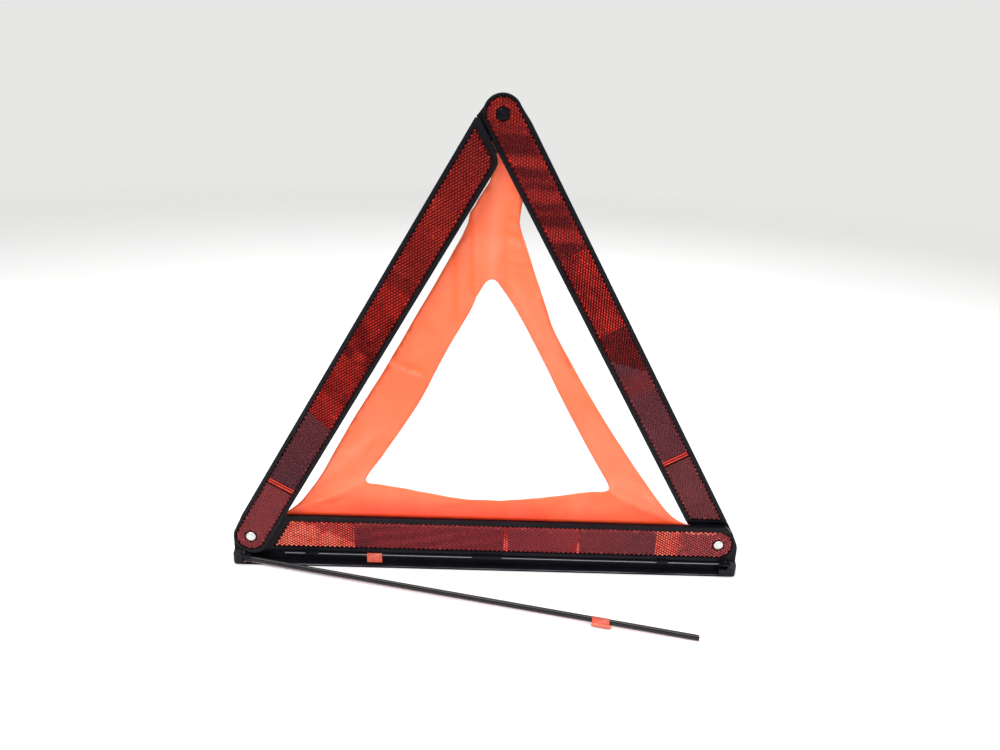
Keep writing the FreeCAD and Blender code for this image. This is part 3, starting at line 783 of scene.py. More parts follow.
def in_lens(lens, x, y, inset, hole_inset):
    """True when a point lies this far inside the lens outline and outside its hole."""
    if y > LENS_HALF - inset or y < -lens.inner + inset:
        return False
    round_y = y if y > 0 else min(0.0, y + lens.inner - LENS_HALF)
    if x < 0 and math.hypot(x, round_y) > LENS_HALF - inset:
        return False
    distance = -SIN60 * (x - SPAN) + 0.5 * y
    if distance < LENS_END + inset:
        return False
    radius = lens.corner
    from_end, from_inner = distance - LENS_END, y + lens.inner
    if radius > 1 and from_end < radius and from_inner < radius:
        # the inner edge and the far end are skewed by 60 degrees
        a, b = radius - from_inner, radius - from_end
        if math.sqrt(max(0.0, a * a + b * b - a * b)) * 2 / math.sqrt(3) > radius - inset:
            return False
    return math.hypot(x, y) > LENS_HOLE + hole_inset


def lens_outline(lens, inset):
    outer, inner = LENS_HALF - inset, lens.inner - inset
    corners = [(-outer, outer), (-outer, -inner), (end_x(LENS_END + inset, -inner), -inner),
               (end_x(LENS_END + inset, outer), outer)]
    radii = [outer, outer, max(0.4, lens.corner - inset), max(0.4, LENS_CORNER - inset)]
    return rounded(corners, radii, 14)


def cell_colours(look, sparkle_tone):
    """Colours of a cell's three facets, painted as one lit and two shaded facets, and of its hidden
    sides.
    """
    mean = tuple(max(0.0006, part / CELL_LIGHT) for part in look.colour)
    contrast = min(1.0, look.contrast)
    facets = [tuple(min(1.0, max(0.002, part * level * sparkle_tone)) for part in mean)
              for level in (1 + 1.7 * contrast, 1 - 0.75 * contrast, 1 - 0.95 * contrast)]
    return facets, tuple(part * 0.5 for part in mean)


def add_cells(lens, rng, verts, faces, colours):
    """Honeycomb of cube corners: three facets that meet at a deeper middle."""
    radius = CELL_PITCH / math.sqrt(3) * 0.985
    corners = [(radius * math.cos(math.radians(60 * k)), radius * math.sin(math.radians(60 * k)))
               for k in range(6)]
    for row in range(-7, int(SPAN / CELL_ROW)):
        x = row * CELL_ROW
        if lens.gap[0] < x < lens.gap[1]:
            continue
        for j in range(-7, 8):
            y = (j + (0.5 if row % 2 else 0.0)) * CELL_PITCH
            if not in_lens(lens, x, y, inset=1.25, hole_inset=0.9 * 1.25):
                continue
            look = lens.look(x, y)
            # painted glints: random cells brighter, a few much brighter
            sparkle_tone = 1 + look.sparkle * rng.uniform(-0.9, 1.0)
            if rng.random() < look.sparkle * 0.10:
                sparkle_tone *= 1.6
            # painted glints: some cells next to the rim are brighter
            at_rim = not in_lens(lens, x, y, inset=2.6, hole_inset=1.2 * 2.6)
            if rng.random() < (0.20 if at_rim else 0.0):
                sparkle_tone *= 1.5
            start = len(verts)
            verts.append(lens.arm.point(x, y, CELL_FRONT + CELL_DEPTH))
            for k, (dx, dy) in enumerate(corners):
                depth = CELL_DEPTH * (0.5 if k % 2 == 0 else 0.0)
                verts.append(lens.arm.point(x + dx, y + dy, CELL_FRONT + depth))
            for dx, dy in corners:
                back = CELL_FRONT + CELL_DEPTH + CELL_BACKING
                verts.append(lens.arm.point(x + dx, y + dy, back))
            for facet in ((0, 1, 2, 3), (0, 3, 4, 5), (0, 5, 6, 1)):
                faces.append(tuple(start + k for k in facet))
            for k in range(6):
                j_next = (k + 1) % 6
                faces.append((start + 1 + k, start + 7 + k, start + 7 + j_next,
                              start + 1 + j_next))
            faces.append(tuple(start + 7 + k for k in range(6)))
            facets, hidden = cell_colours(look, sparkle_tone)
            colours += facets + [hidden] * 7


# ridge section: (offset along the arm, depth behind the cell fronts)
BAR_HALF = 1.1 / 2
BAR_SECTION = [(-BAR_HALF, 0.9), (-BAR_HALF, 0.35), (0.0, 0.0), (BAR_HALF, 0.35), (BAR_HALF, 0.9)]
BAR_LENGTH, BAR_PARTS, BAR_GAP = 22.8, 10, 0.1


def add_bars(lens, rng, verts, faces, colours):
    """Slim ridges across the lens, in short parts, painted in the bright colour of the light they
    send back.
    """
    for bar_x in lens.bars:
        for part in range(BAR_PARTS):
            start = len(verts)
            y_from = -BAR_LENGTH / 2 + BAR_LENGTH * part / BAR_PARTS
            y_to = -BAR_LENGTH / 2 + BAR_LENGTH * (part + 1) / BAR_PARTS - BAR_GAP
            for y in (y_from, y_to):
                verts += [lens.arm.point(bar_x + dx, y, CELL_FRONT + depth)
                          for dx, depth in BAR_SECTION]
            for k in range(5):
                j = (k + 1) % 5
                faces.append((start + k, start + j, start + 5 + j, start + 5 + k))
            faces += [tuple(start + k for k in range(5)), tuple(start + 5 + k for k in range(5))]
            colours += [mix(rgb(236, 84, 66), rgb(205, 70, 58), rng.random())] * 7


def lens_pieces(lens):
    cover = plate_with_hole(lens.node + "_face", lens.arm, lens_outline(lens, 0.0), 0, LENS_HOLE,
                            front=LENS_FACE, back=LENS_FACE + 0.65, chamfer=0.3)
    paint(cover, M_COVER)
    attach(cover, lens.body)
    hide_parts(lens.node)

    inset = 0.15
    back = plate_with_hole(lens.node + "_back", lens.arm, lens_outline(lens, inset), 0,
                           LENS_HOLE + inset, front=-1.0, back=0.06, chamfer=0.1)
    paint(back, M_BACK)
    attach(back, lens.body)

    rng = random.Random(lens.seed)
    verts, faces, colours = [], [], []
    add_cells(lens, rng, verts, faces, colours)
    add_bars(lens, rng, verts, faces, colours)
    cells = new_object(lens.node + "_cells", verts, faces)
    store_colours(cells, "cell", "FACE", colours)
    fix_normals(cells)
    paint(cells, M_CELLS)
    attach(cells, lens.body)


for lens in LENSES:
    lens_pieces(lens)

# ------------------------------------------------------------------ rivets and stud
# profiles: (radius, depth from the seat), (radius, depth from the back), (radius, depth from
# HEAD_LEVEL)
RIVET_HEAD = [(0, -1.45), (0.7, -1.43), (1.4, -1.36), (2.1, -1.22), (2.9, -0.99), (3.6, -0.72),
              (3.95, -0.48), (4.1, -0.25), (4.07, -0.05), (3.95, 0), (2.0, 0)]
RIVET_TAIL = [(2.0, 0), (2.9, 0), (3.1, 0.15), (3.05, 0.5), (2.6, 0.85), (1.5, 1.0),
              (0.8, 0.75), (0, 0.7)]
STUD = [(0, 0.62), (1.5, 0.58), (1.6, 0.5), (2.9, 0.5), (3.6, 0.58), (4.0, 0.8), (4.1, 1.1),
        (4.1, 1.5), (2.2, 1.5), (2.2, 7.7), (2.35, 7.95), (2.7, 8.2), (2.8, 8.45), (2.75, 8.75),
        (2.3, 9.4), (1.8, 9.8), (1.5, 9.9), (0, 9.9)]


def rivet(side, arm, x, seat, back):
    profile = [(radius, seat + z) for radius, z in RIVET_HEAD]
    profile += [(radius, back + z) for radius, z in RIVET_TAIL]
    piece = lathe(side + "_rivet_turned", arm, x, profile)
    paint(piece, M_RIVET)
    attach(piece, "base")
    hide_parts(side + "_pivot_rivet")


def snap_stud():
    profile = [(radius, HEAD_LEVEL + z) for radius, z in STUD]
    piece = lathe("snap_stud_turned", RIGHT_ARM, 0, profile)
    paint(piece, M_STUD)
    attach(piece, "right_arm")
    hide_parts("snap_stud")


rivet("left", LEFT_ARM, 0, seat=HEAD_LEVEL + 0.78, back=4.25 + REAR_OFFSET)
# the right rivet stands on the base's boss and runs through the right arm
rivet("right", RIGHT_ARM, SPAN, seat=0.74 - 9.1, back=2.05)
snap_stud()


# ------------------------------------------------------------------ tongue of the left arm
def tongue_web():
    """Strip against the arm's end, skewed with it."""
    # (distance from the next corner, depth)
    section = [(17.58, -1.5), (17.58, EAR_FRONT + 0.2), (16.35, EAR_FRONT + 0.2), (16.35, -1.1),
               (16.7, -1.5)]
    parts, inner_y, width = 10, -11.0, 26.6
    verts, faces = [], []
    for i in range(parts + 1):
        y = inner_y + width * i / parts
        verts += [LEFT_ARM.point(end_x(distance, y), y, z) for distance, z in section]
    count = len(section)
    for i in range(parts):
        for k in range(count):
            j = (k + 1) % count
            faces.append((i * count + k, i * count + j, (i + 1) * count + j,
                          (i + 1) * count + k))
    faces += [tuple(range(count)), tuple(range(parts * count, (parts + 1) * count))]
    web = new_object("tongue_web", verts, faces)
    fix_normals(web)
    return web


def tongue():
    """Bent strip: the ear with its hole, and the web that joins it to the arm's end."""
    corners = [(end_x(17.55, -11.0), -11.0), (end_x(17.55, 15.55), 15.55), (408.5, 14.4),
               (421, 11.0), (421, -11.0)]
    outline = rounded(corners, [1.5, 1.0, 8.0, 10.0, 10.0], 12)
    ear = plate_with_hole("tongue_ear", LEFT_ARM, outline, SPAN, 2.95,
                          front=EAR_FRONT, back=EAR_BACK, chamfer=0.3)
    for piece in (ear, tongue_web()):
        paint(piece, M_TONGUE)
        bevel = piece.modifiers.new("bevel", "BEVEL")
        bevel.width = 0.18 * MM
        bevel.segments = 2
        bevel.limit_method = "ANGLE"
        bevel.angle_limit = math.radians(35)
        apply_modifiers(piece)
        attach(piece, "left_arm")
        tuple(LEFT_ARM.point(398, 0, 0.0))
        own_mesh(piece)
    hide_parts("left_arm_tongue")


tongue()

# ------------------------------------------------------------------ fluorescent film
# outlines seen from the front: (x, height over the pivots)
LEFT_EDGE = [
    (-7.4, 332), (-5.4, 328), (-4.6, 323.5), (-5.6, 318), (-6.6, 312), (-8.2, 305.8),
    (-11.1, 301.2), (-13.8, 296.6), (-16.7, 292.1), (-18.8, 287.5), (-22, 282.8), (-23, 278.2),
    (-24, 273.6), (-26.1, 268.9), (-28.1, 264.2), (-33.1, 254.7), (-38.2, 245.1), (-43.6, 235.4),
    (-48.8, 225.6), (-54.4, 215.7), (-60.1, 205.7), (-67.5, 192.3), (-74.9, 178.6),
    (-82.7, 164.9), (-90.5, 150.9), (-99.1, 136.7), (-107.6, 122.4), (-116.2, 107.8),
    (-124.3, 93.1), (-132.5, 78.1), (-140.4, 62.9), (-145, 55.1), (-150, 47.3), (-155.7, 39.4),
    (-161.7, 31.4), (-170.8, 23.2), (-179, 17.0),
]
RIGHT_EDGE = [
    (179, 17.0), (170.5, 19.8), (161.6, 25.4), (153.7, 33.5), (147.3, 41.2), (141.5, 48.9),
    (135.9, 56.5), (130.2, 64), (124.7, 71.4), (114.3, 86.1), (104.1, 100.5), (94.5, 114.7),
    (85.5, 128.8), (76.5, 142.6), (68.1, 156.2), (60, 169.7), (52.1, 183), (45.4, 196.1),
    (40.6, 209.2), (36.9, 218.9), (33.2, 228.5), (29.5, 237.9), (26.1, 247.4), (22.7, 256.7),
    (19.1, 265.9), (17.5, 270.5), (16.2, 275), (16.3, 279.6), (16.7, 284.2), (17.4, 290),
    (18.6, 302), (16, 318), (12, 330),
]
TOP_EDGE = [(9.4, 340), (8.0, 348), (7.4, 355), (5.4, 360.4), (0, 362.6), (-4.0, 360.9),
            (-5.0, 355.6), (-5.6, 348), (-6.6, 339)]
OPENING = [
    (-3.6, 231.0), (-6.2, 230.4), (-8.6, 228.6), (-10.6, 225.6), (-13.1, 221.2), (-14.6, 218.6),
    (-15.6, 217), (-19.3, 207.1), (-26.4, 193.7), (-33.8, 180.1), (-40.8, 166.3), (-47.6, 152.3),
    (-54.2, 138.2), (-61.6, 123.9), (-70.5, 109.3), (-79.6, 94.5), (-89.2, 79.5), (-94.3, 71.9),
    (-100, 64.2), (-104, 58), (-105.4, 53.6), (-102.6, 50.6), (-94, 49.0), (-57.9, 42.6),
    (-30, 38.4), (-11.6, 36.3), (5, 36.0), (21.2, 37.2), (55, 42.0), (86.5, 46.9), (98, 48.0),
    (103, 50.5), (102.4, 55.4), (98.1, 62.9), (93.6, 70.4), (84.7, 85.1), (76.4, 99.6),
    (68.3, 113.9), (60.4, 127.9), (52.7, 141.8), (45.5, 155.5), (38.2, 169), (31, 182.3),
    (23.7, 195.4), (15.8, 208.3), (9.3, 217.9), (5.7, 222.5), (2.7, 226.6), (0.6, 229.2),
    (-1.4, 230.6),
]
HEM_TOP = 17.0              # the hem below this height stays in its rebate
HEM_HALF = 179              # half width of the film at that height
HEM_DEPTH = 4.8             # y of the film in the rebate
APEX_DEPTH = 9.0            # y of the film at the very top
EDGE_STEP = 2.6

# creases: (from, to, how far they stand forward, half width)
CREASES = [
    ((-104, 55), (-176, 19), 3.0, 7.0), ((102, 52), (170, 18), 3.2, 7.0),
    ((98, 60), (160, 27), -1.6, 5.0), ((-98, 60), (-160, 30), -1.4, 5.0),
    ((-18, 216), (-24, 286), 2.4, 3.6), ((-4, 236), (-3, 300), -2.0, 5.0),
    ((2, 236), (14, 278), 1.8, 3.6), ((-30, 220), (-34, 262), -1.2, 3.0),
    ((-92, 163), (-58, 150), 2.0, 2.4), ((-88, 157), (-62, 160), -1.4, 2.2),
    ((37, 220), (66, 158), 1.9, 3.0), ((20, 262), (40, 212), 1.5, 2.8),
    ((-60, 133), (-96, 112), 1.1, 6.0), ((60, 128), (88, 118), 0.9, 6.0),
    ((0, 36), (4, 20), 0.9, 14.0), ((-120, 92), (-104, 68), 1.3, 5.0),
    ((8, 268), (17, 262), 1.2, 2.0), ((6, 256), (18, 250), -1.0, 2.0),
    ((10, 246), (24, 240), 1.0, 2.2), ((10, 281), (17, 277), 0.9, 1.8),
    ((-45, 178), (-66, 196), 0.9, 4.0), ((88, 96), (112, 84), 0.8, 4.0),
    ((-70, 30), (-20, 34), 0.7, 5.0), ((60, 42), (96, 45), 0.9, 4.0),
]
# broad to fine waves: (height, size along x, size along z, seed)
WAVES = [(2.2, 46, 60, 3.1), (1.2, 17, 24, 8.7), (0.30, 6.5, 8, 5.2)]
# fans of fine pull lines at the three corners: (x, z, reach, height, lines)
FANS = [(-2, 345, 100, 1.1, 26), (-180, 15, 90, 0.9, 22), (174, 15, 90, 0.9, 22)]
# doubled, redder film: (from, to, strength, inner and outer half width)
FOLDS = [((12, 300), (-2, 322), 0.5, 1.0, 4.0), ((110, 52), (172, 24), 0.25, 1.0, 4.0)]
# painted sheen and shade lines: (from, to, half width, strength), painted sheen when positive and
# painted shade, redder, when negative
SHEEN_AND_SHADE_LINES = [
    ((-18, 214), (-22, 286), 1.7, -0.55), ((-15, 214), (-18, 290), 1.3, 0.45),
    ((-27, 206), (-27, 270), 1.6, 0.35), ((-32, 198), (-34, 250), 2.2, -0.35),
    ((-4, 236), (-2, 306), 5.0, 0.45), ((5, 238), (8, 290), 2.2, -0.30),
    ((1, 232), (52, 132), 1.3, -0.25), ((12, 232), (40, 180), 2.4, 0.35),
    ((-92, 163), (-60, 150), 1.6, 1.2), ((-90, 159), (-66, 156), 1.2, -0.5),
    ((56, 176), (160, 34), 1.0, 0.6), ((52, 172), (150, 40), 1.6, -0.3),
    ((-120, 78), (-104, 92), 1.4, 0.5), ((-112, 70), (-98, 88), 1.6, -0.3),
    ((-60, 24), (60, 26), 2.0, 0.30), ((-140, 22), (-30, 28), 2.2, 0.25),
    ((-12, 36), (-8, 20), 12.0, -0.15),
]


def resample(line, closed=False):
    """Catmull-Rom curve through the points, about one point per EDGE_STEP."""
    points = [Vector(point) for point in line]
    count = len(points)
    curve = []
    for i in range(count if closed else count - 1):
        p1, p2 = points[i], points[(i + 1) % count]
        p0 = points[i - 1] if (closed or i > 0) else p1
        p3 = points[(i + 2) % count] if (closed or i + 2 < count) else p2
        steps = max(1, int(round((p2 - p1).length / EDGE_STEP)))
        for k in range(steps):
            u = k / steps
            curve.append(0.5 * ((2 * p1) + (p2 - p0) * u + (2 * p0 - 5 * p1 + 4 * p2 - p3) * u * u
                                + (3 * p1 - p0 - 3 * p2 + p3) * u ** 3))
    if not closed:
        curve.append(points[-1])
    return curve


def from_segment(point, start, end):
    """Distance from a segment, and the share of the way along it."""
    start, end = Vector(start), Vector(end)
    run = end - start
    share = max(0.0, min(1.0, (point - start).dot(run) / run.length_squared))
    return (point - (start + run * share)).length, share


def from_line(x, z, start, end):
    """Signed distance from a line, positive to its left."""
    run_x, run_z = end[0] - start[0], end[1] - start[1]
    return (run_x * (z - start[1]) - run_z * (x - start[0])) / math.hypot(run_x, run_z)


def film_depth(x, z):
    """y of the film, mm, at x and at height z over the pivots."""
    point = Vector((x, z))
    arm_rear = 11.8 - 0.00873 * z + 0.16        # just behind the right arm
    if z > 282:
        plain = arm_rear
    y = HEM_DEPTH + smooth(z, 40, 282) * (arm_rear - HEM_DEPTH)
    relief = 0.0
    for height, size_x, size_z, seed in WAVES:
        relief += height * noise.noise(Vector((x / size_x, z / size_z, seed)))
    for start, end, height, half in CREASES:
        distance, share = from_segment(point, start, end)
        if distance < 3.2 * half:
            along = 0.35 + 0.65 * math.sin(math.pi * min(1, max(0, 0.12 + 0.8 * share)))
            relief -= height * math.exp(-abs(distance / half) ** 1.25) * along
    for centre_x, centre_z, reach, height, lines in FANS:
        radius = math.hypot(x - centre_x, z - centre_z)
        if radius < reach:
            angle = math.atan2(z - centre_z, x - centre_x)
            relief += (height * math.sin(lines * angle + 1.3 * math.sin(5 * angle))
                       * smooth(radius, 10, 30) * (1 - smooth(radius, 40, reach)))
    # the limbs belly forward between their edges
    relief -= 1.2 * smooth(z, 50, 110) * (1 - smooth(z, 200, 262))
    # flat in its rebate and behind the arms' top, free in between
    y += smooth(z, HEM_TOP + 0.5, 36) * (1 - smooth(z, 262, 286)) * relief
    if z > 282:
        squeeze = smooth(z, 300, 322)
        y = plain * (1 - squeeze) + APEX_DEPTH * squeeze
    return y


def film_sheen_and_shade(x, z, high):
    """Painted sheen and shade: positive where the film is painted paler, negative where it is painted
    redder and darker.
    """
    point = Vector((x, z))
    # painted sheen at the apex and on the right limb, painted shade on the left limb
    tint = (0.45 * high + 0.14 * smooth(x, 60, 75) * smooth(z, 60, 90)
            - 0.16 * (1 - smooth(x, -60, -30)) * smooth(z, 60, 90))
    # right corner: mitre crease, painted sheen above it and painted shade below
    mitre = from_line(x, z, (100, 50), (174, 15))
    above, near = smooth(mitre, -0.8, 0.8), smooth(x, 78, 104)
    tint += near * (0.66 * above * (1 - smooth(mitre, 9, 17)) - 0.34 * (1 - above))
    tint += near * 0.5 * math.exp(-((mitre - 16.5) / 1.1) ** 2)
    # left corner: the same, with a band of painted shade further up
    mitre = from_line(x, z, (-180, 15), (-103, 53))
    above, near = smooth(mitre, -0.7, 0.7), 1 - smooth(x, -100, -84)
    tint += near * (0.30 * above * (1 - smooth(mitre, 5, 9))
                    - 0.16 * smooth(mitre, 9, 12) * (1 - smooth(mitre, 16, 22))
                    - 0.20 * (1 - above))
    # painted sheen: a paler strip inside the left edge, low down
    edge = from_line(x, z, (-150, 42), (-96, 92))
    tint += 0.22 * smooth(edge, 0, 1.5) * (1 - smooth(edge, 5, 16)) * (1 - smooth(z, 100, 116))
    # soft broad painted light and shade along the limbs
    tint += (0.30 * noise.noise(Vector((x / 34, z / 52, 7.7)))
             + 0.16 * noise.noise(Vector((x / 12, z / 26, 2.2))))
    # painted sheen and shade along the creases
    for start, end, half, strength in SHEEN_AND_SHADE_LINES:
        distance = from_segment(point, start, end)[0]
        tint += strength * math.exp(-(distance / half) ** 2)
    # short ripples of painted sheen by the right edge, below the top
    if 4 < x < 22 and 236 < z < 290:
        tint += (0.30 * math.sin(z / 1.9 + x / 5) * smooth(x, 4, 10) * smooth(z, 236, 244)
                 * (1 - smooth(z, 282, 290)))
    return tint


def film_shade(x, z):
    """Colour factors: redder and darker low down and in doubled folds, with painted sheen and shade
    on creases and corners.
    """
    point = Vector((x, z))
    low = 1 - smooth(z, 17, 44 + 4 * noise.noise(Vector((x / 30, z / 30, 1.0))))
    deep = low * smooth(x, -140, -98) * (1 - smooth(x, 30, 72))
    high = smooth(z, 292, 312)
    red = (1.0 - 0.02 * low) * (1 + 0.06 * high)
    green = (1.0 - 0.36 * low) * (1 - 0.34 * deep)
    blue = (1.0 - 0.46 * low) * (1 - 0.38 * deep)
    distance, share = from_segment(point, (37, 220), (63, 160))
    fold = (1 - smooth(distance, 2.0, 4.2)) * (0.9 if 0.02 < share < 0.98 else 0.0)
    for start, end, strength, inner, outer in FOLDS:
        distance = from_segment(point, start, end)[0]
        fold = max(fold, strength * (1 - smooth(distance, inner, outer)))
    tint = film_sheen_and_shade(x, z, high)
    red *= (1 - 0.03 * fold) * (1 + 0.03 * min(0.0, tint))
    green *= (1 - 0.28 * fold) * (1 + 0.34 * tint)
    blue *= (1 - 0.38 * fold) * (1 + 0.75 * tint)
    return red, green, blue


def fill_points(rings, step):
    """Slightly scattered triangular grid inside the first ring and clear of all rings."""
    rng = random.Random(5)
    on_rings = np.array([(point[0], point[1]) for ring in rings for point in ring])
    (x_min, z), (x_max, z_max) = on_rings_limits(rings[0])
    points = []
    row = 0
    while z < z_max:
        x = x_min + (step / 2 if row % 2 else 0)
        while x < x_max:
            spot = (x + rng.uniform(-0.12, 0.12) * step, z + rng.uniform(-0.12, 0.12) * step)
            if in_sheet(spot, rings):
                gaps = np.hypot(on_rings[:, 0] - spot[0], on_rings[:, 1] - spot[1])
                if np.min(gaps) > 0.62 * step:
                    points.append(Vector(spot))
            x += step
        z += step * SIN60
        row += 1
    return points


def on_rings_limits(ring):
    """Lowest and highest x and z of a ring."""
    xs, zs = zip(*ring)
    return (min(xs), min(zs)), (max(xs), max(zs))


def in_sheet(point, rings):
    return inside(point, rings[0]) and not any(inside(point, hole) for hole in rings[1:])


def film_piece(name, outline, holes, step):
    """Triangulated sheet, given its depth and colour, then thickened."""
    rings = [[tuple(point) for point in ring] for ring in [outline] + holes]
    placed, triangles, _ = triangulate(rings, fill_points(rings, step), 1e-5)
    faces = [face for face, centre in triangles if in_sheet(centre, rings)]
    used = sorted({i for face in faces for i in face})
    index = {i: k for k, i in enumerate(used)}
    points = [placed[i] for i in used]
    verts = [(p.x * MM, film_depth(p.x, p.y) * MM, (p.y + PIVOT_Z) * MM) for p in points]
    film = new_object(name, verts, [tuple(index[i] for i in face) for face in faces], smooth=True)
    fix_normals(film)
    # the front side looks towards -Y
    if sum(polygon.normal.y * polygon.area for polygon in film.data.polygons) > 0:
        film.data.flip_normals()
    store_colours(film, "shade", "POINT", [film_shade(p.x, p.y) for p in points])
    thicken(film)
    for polygon in film.data.polygons:
        polygon.use_smooth = True
    paint(film, M_FILM)
    return film


def circle(x, z, radius, count):
    """Clockwise ring of points."""
    angles = [-2 * math.pi * k / count for k in range(count)]
    return [Vector((x + radius * math.cos(a), z + radius * math.sin(a))) for a in angles]


def hem_line(start_x, end_x_):
    start, end = Vector((start_x, HEM_TOP)), Vector((end_x_, HEM_TOP))
    return [start.lerp(end, k / 120) for k in range(121)]


def film_sheet():
    outline = (resample(LEFT_EDGE) + hem_line(-HEM_HALF, HEM_HALF) + resample(RIGHT_EDGE)
               + [Vector(point) for point in TOP_EDGE])
    holes = [resample(OPENING, closed=True), circle(0, 355.07, 4.7, 20)]
    film = film_piece("fluorescent_film", outline, holes, step=3.2)
    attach(film, "base")
    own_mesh(film)
    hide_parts("fluorescent_sheet")


def film_hem():
    """Lowest strip of the film, with five small holes."""
    lower_edge = [(-178.6, 10), (-177.6, 5.3)]
    lower_edge += [(-177 + 354 * k / 110, 4.9) for k in range(1, 110)]
    lower_edge += [(177.6, 5.3), (178.6, 11)]
    outline = hem_line(HEM_HALF, -HEM_HALF) + [Vector(point) for point in lower_edge]
    holes = [circle(x, 9.5, 1.35, 14) for x in range(-160, 161, 80)]
    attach(film_piece("film_hem", outline, holes, step=3.0), "base")


film_sheet()
film_hem()


# ------------------------------------------------------------------ film tabs on the legs
def tab_loop(out, top, hangs):
    """Section round the strip: (outwards, up) points, and the indices of the loose end.
    out is the reach of the wrap to each side, top its half height."""
    under = [(-out + 0.15, -top + 0.35), (-out + 0.3, -top + 0.05), (0.0, -top),
             (out - 0.15, -top + 0.1)]
    if hangs:
        flag = [(-0.52, -1.4), (-0.36, -3.0), (-0.56, -4.6), (-0.34, -4.65), (-0.12, -3.0),
                (-0.28, -1.3), (-0.05, 0.5)]
    else:
        flag = [(0.7, 0.62), (1.6, 0.52), (2.5, 0.46), (2.56, 0.70), (1.7, 0.90), (0.8, 1.2),
                (0.2, 1.7)]
    over = [(out + 0.1, -0.2 * top), (out, 0.5 * top), (out - 0.15, top - 0.35),
            (0.45, top - 0.02), (0.0, top), (-0.5, top - 0.03), (-out + 0.12, top - 0.4),
            (-out, 0.0)]
    loop = under + [(out + dx, -top + dz) for dx, dz in flag] + over
    return loop, range(len(under), len(under) + len(flag))


def tab(corner, hangs):
    """Film wrapped round a leg; its loose end hangs down or stands out as a creased flag."""
    name, node = corner + "_tab", corner + "_leg_tab"
    low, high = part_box(node)
    source = np.array([vert.co for vert in NODES[node].data.vertices])
    centre = source.mean(0)
    along = Vector(np.linalg.svd(source - centre)[2][0])
    along.z = 0
    along.normalize()
    if along.x < 0:
        along = -along
    side = Vector((along.y, -along.x, 0))
    if ((low + high) / 2).y > 0.003:    # the rear legs' tabs are mirrored
        side = -side

    half = 6.5 if hangs else 7.0
    creasing, flare = (0.10, 0.15) if hangs else (0.16, 1.0)
    top = (high.z - low.z) / MM / 2
    loop, loose_part = tab_loop(0.12 * (2 * top) + 0.62, top, hangs)
    parts, count = 14, len(loop)
    verts, faces, shades = [], [], []
    for i in range(parts + 1):
        x = -half + 2 * half * i / parts
        for k, (out, z) in enumerate(loop):
            is_loose = k in loose_part
            loose = 1.0 if is_loose else 0.25
            jitter = creasing * noise.noise(Vector((x / 3.4, k * 0.7, len(name) * 1.7)))
            # the loose end flares towards one side
            skewed = x + (loose - 0.25) * (1.9 * (x + half) / (2 * half) - 0.2) * flare
            offset = (along * skewed + side * (out + jitter * loose)
                      + Vector((0, 0, z + jitter * 0.6 * loose)))
            verts.append(Vector(tuple(centre)) + offset * MM)
            height = (z + top) / (2 * top)
            # painted shadow: darker along the top of the wrap
            level = 1.0 - 0.45 * smooth(height, 0.78, 1.0)
            # painted highlight: a slanting pale line on the side with the flag and round the top, and
            # faint pale stripes on the rest
            if k >= loose_part.stop:
                line = math.exp(-((x - half * (1.6 * height - 0.8)) / 2.6) ** 2)
            else:
                line = 0.25 * (1 + math.sin(x * 1.1))
            shades.append((level, level * (0.85 + 0.9 * line), level * (0.8 + 1.3 * line)))
    for i in range(parts):
        for k in range(count):
            j = (k + 1) % count
            faces.append((i * count + k, i * count + j, (i + 1) * count + j,
                          (i + 1) * count + k))
    piece = new_object(name, verts, faces, smooth=True)
    store_colours(piece, "shade", "POINT", shades)
    thicken(piece)
    sharpen(piece, 50)
    paint(piece, M_TAB)
    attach(piece, corner + "_leg")
    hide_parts(node)


tab("front_left", hangs=False)
tab("front_right", hangs=True)
tab("rear_left", hangs=True)
tab("rear_right", hangs=False)


# ------------------------------------------------------------------ floor, world, lights, camera
def floor_paint():
    """Pale paint that fades into the background far from the object."""
    shader = new_shader("floor_paint")
    place = shader.coords()
    mottle = shader.noise(place, scale=3.0, detail=4.0)
    colour = shader.ramp(mottle, [(0.3, (0.83, 0.83, 0.83)), (0.7, (0.86, 0.86, 0.855))])
    near = shader.principled(Base_Color=colour, Roughness=0.6)
    distance = shader.node("ShaderNodeVectorMath", {0: place}, operation="LENGTH")
    far = shader.remap(distance.outputs["Value"], source=(0.9, 3.2),
                       interpolation_type="SMOOTHSTEP")
    clear = shader.node("ShaderNodeBsdfTransparent").outputs[0]
    return shader.finish(shader.mix_shader(far, near, clear))


def stage_floor(half=9.0, z=-0.0002):
    """Square floor just below the object; sizes in metres."""
    corners = [(-half, -half, z), (half, -half, z), (half, half, z), (-half, half, z)]
    floor = new_object("floor", corners, [(0, 1, 2, 3)])
    floor.data.materials.append(floor_paint())


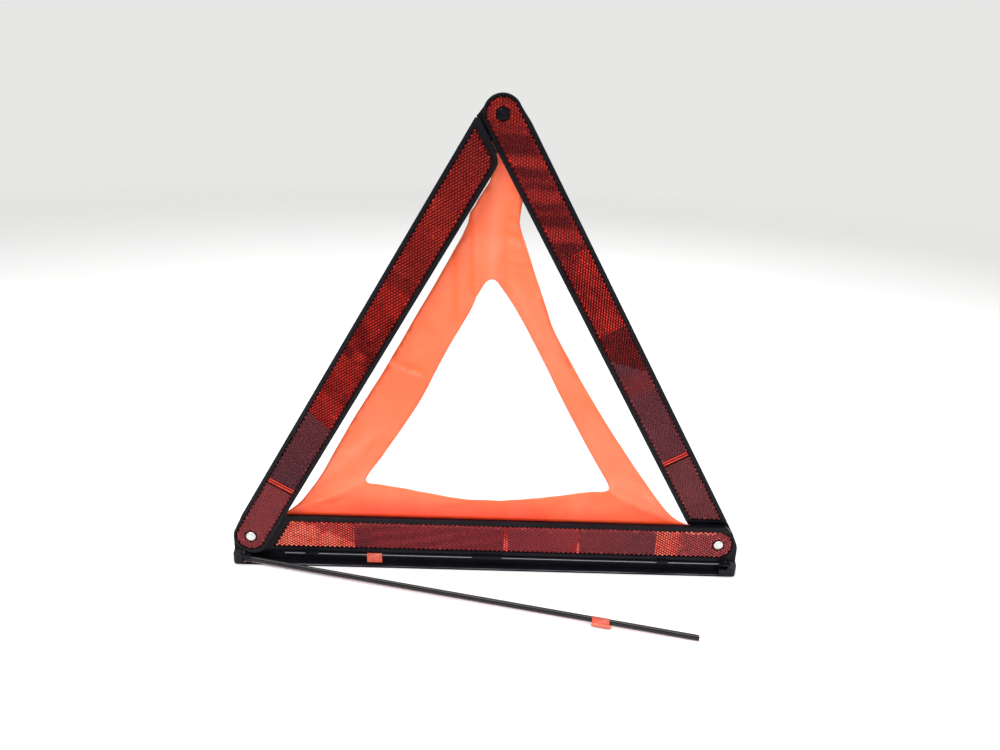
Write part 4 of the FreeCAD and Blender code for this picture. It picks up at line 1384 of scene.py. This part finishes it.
def make_world():
    """Pale all round, dimmer on the side the object faces; the camera sees an even grey."""
    scene.world = bpy.data.worlds.new("world")
    shader = Shader(scene.world)
    generated = shader.node("ShaderNodeTexCoord").outputs["Generated"]
    y = shader.node("ShaderNodeSeparateXYZ", {0: generated}).outputs["Y"]
    colour = shader.ramp(shader.remap(y, source=(-1.0, 1.0)),
                         [(0.30, (0.30, 0.30, 0.31)), (0.62, (0.76, 0.76, 0.745))])
    lighting = shader.node("ShaderNodeBackground", {"Color": colour, "Strength": 1.0})
    seen = shader.node("ShaderNodeBackground", {"Color": (0.80, 0.80, 0.79, 1)})
    camera_ray = shader.node("ShaderNodeLightPath").outputs["Is Camera Ray"]
    shader.finish(shader.mix_shader(camera_ray, lighting.outputs[0], seen.outputs[0]),
                  "ShaderNodeOutputWorld")


def area_light(name, place, target, size, power):
    """Rectangular light; metres and watts."""
    data = bpy.data.lights.new(name, "AREA")
    data.shape = "RECTANGLE"
    data.size, data.size_y = size
    data.energy = power
    light = bpy.data.objects.new(name, data)
    light.location = place
    aim = Vector(target) - Vector(place)
    light.rotation_euler = aim.to_track_quat("-Z", "Y").to_euler()
    scene.collection.objects.link(light)


def make_camera():
    data = bpy.data.cameras.new("camera")
    data.sensor_width = 36.0
    data.lens = 27.978732
    data.clip_start = 0.01
    data.clip_end = 100
    camera = bpy.data.objects.new("camera", data)
    scene.collection.objects.link(camera)
    right = Vector((0.9992327836, -0.0105225567, 0.0377242624))
    up = Vector((-0.0318242469, 0.3432601556, 0.9387010616))
    backwards = Vector((-0.0228267713, -0.9391814209, 0.3426619284))
    turn = Matrix((right, up, backwards)).transposed()
    place = Vector((-9.0057, -592.5681, 370.4222 + PIVOT_Z)) * MM
    camera.matrix_world = Matrix.Translation(place) @ turn.to_4x4()
    scene.camera = camera


stage_floor()
make_world()
area_light("key", (-0.8, -1.3, 1.7), target=(0, 0, 0.15), size=(1.0, 0.7), power=30)
area_light("top", (0.1, -0.25, 2.1), target=(0, 0, 0), size=(2.2, 1.6), power=34)
area_light("fill", (1.4, -0.9, 1.0), target=(0, 0, 0.15), size=(0.8, 0.8), power=7)
area_light("back", (0.3, 1.6, 1.6), target=(0, 0, 0.2), size=(1.6, 0.8), power=10)
make_camera()
scene.view_settings.view_transform = "Standard"
scene.view_settings.look = "None"
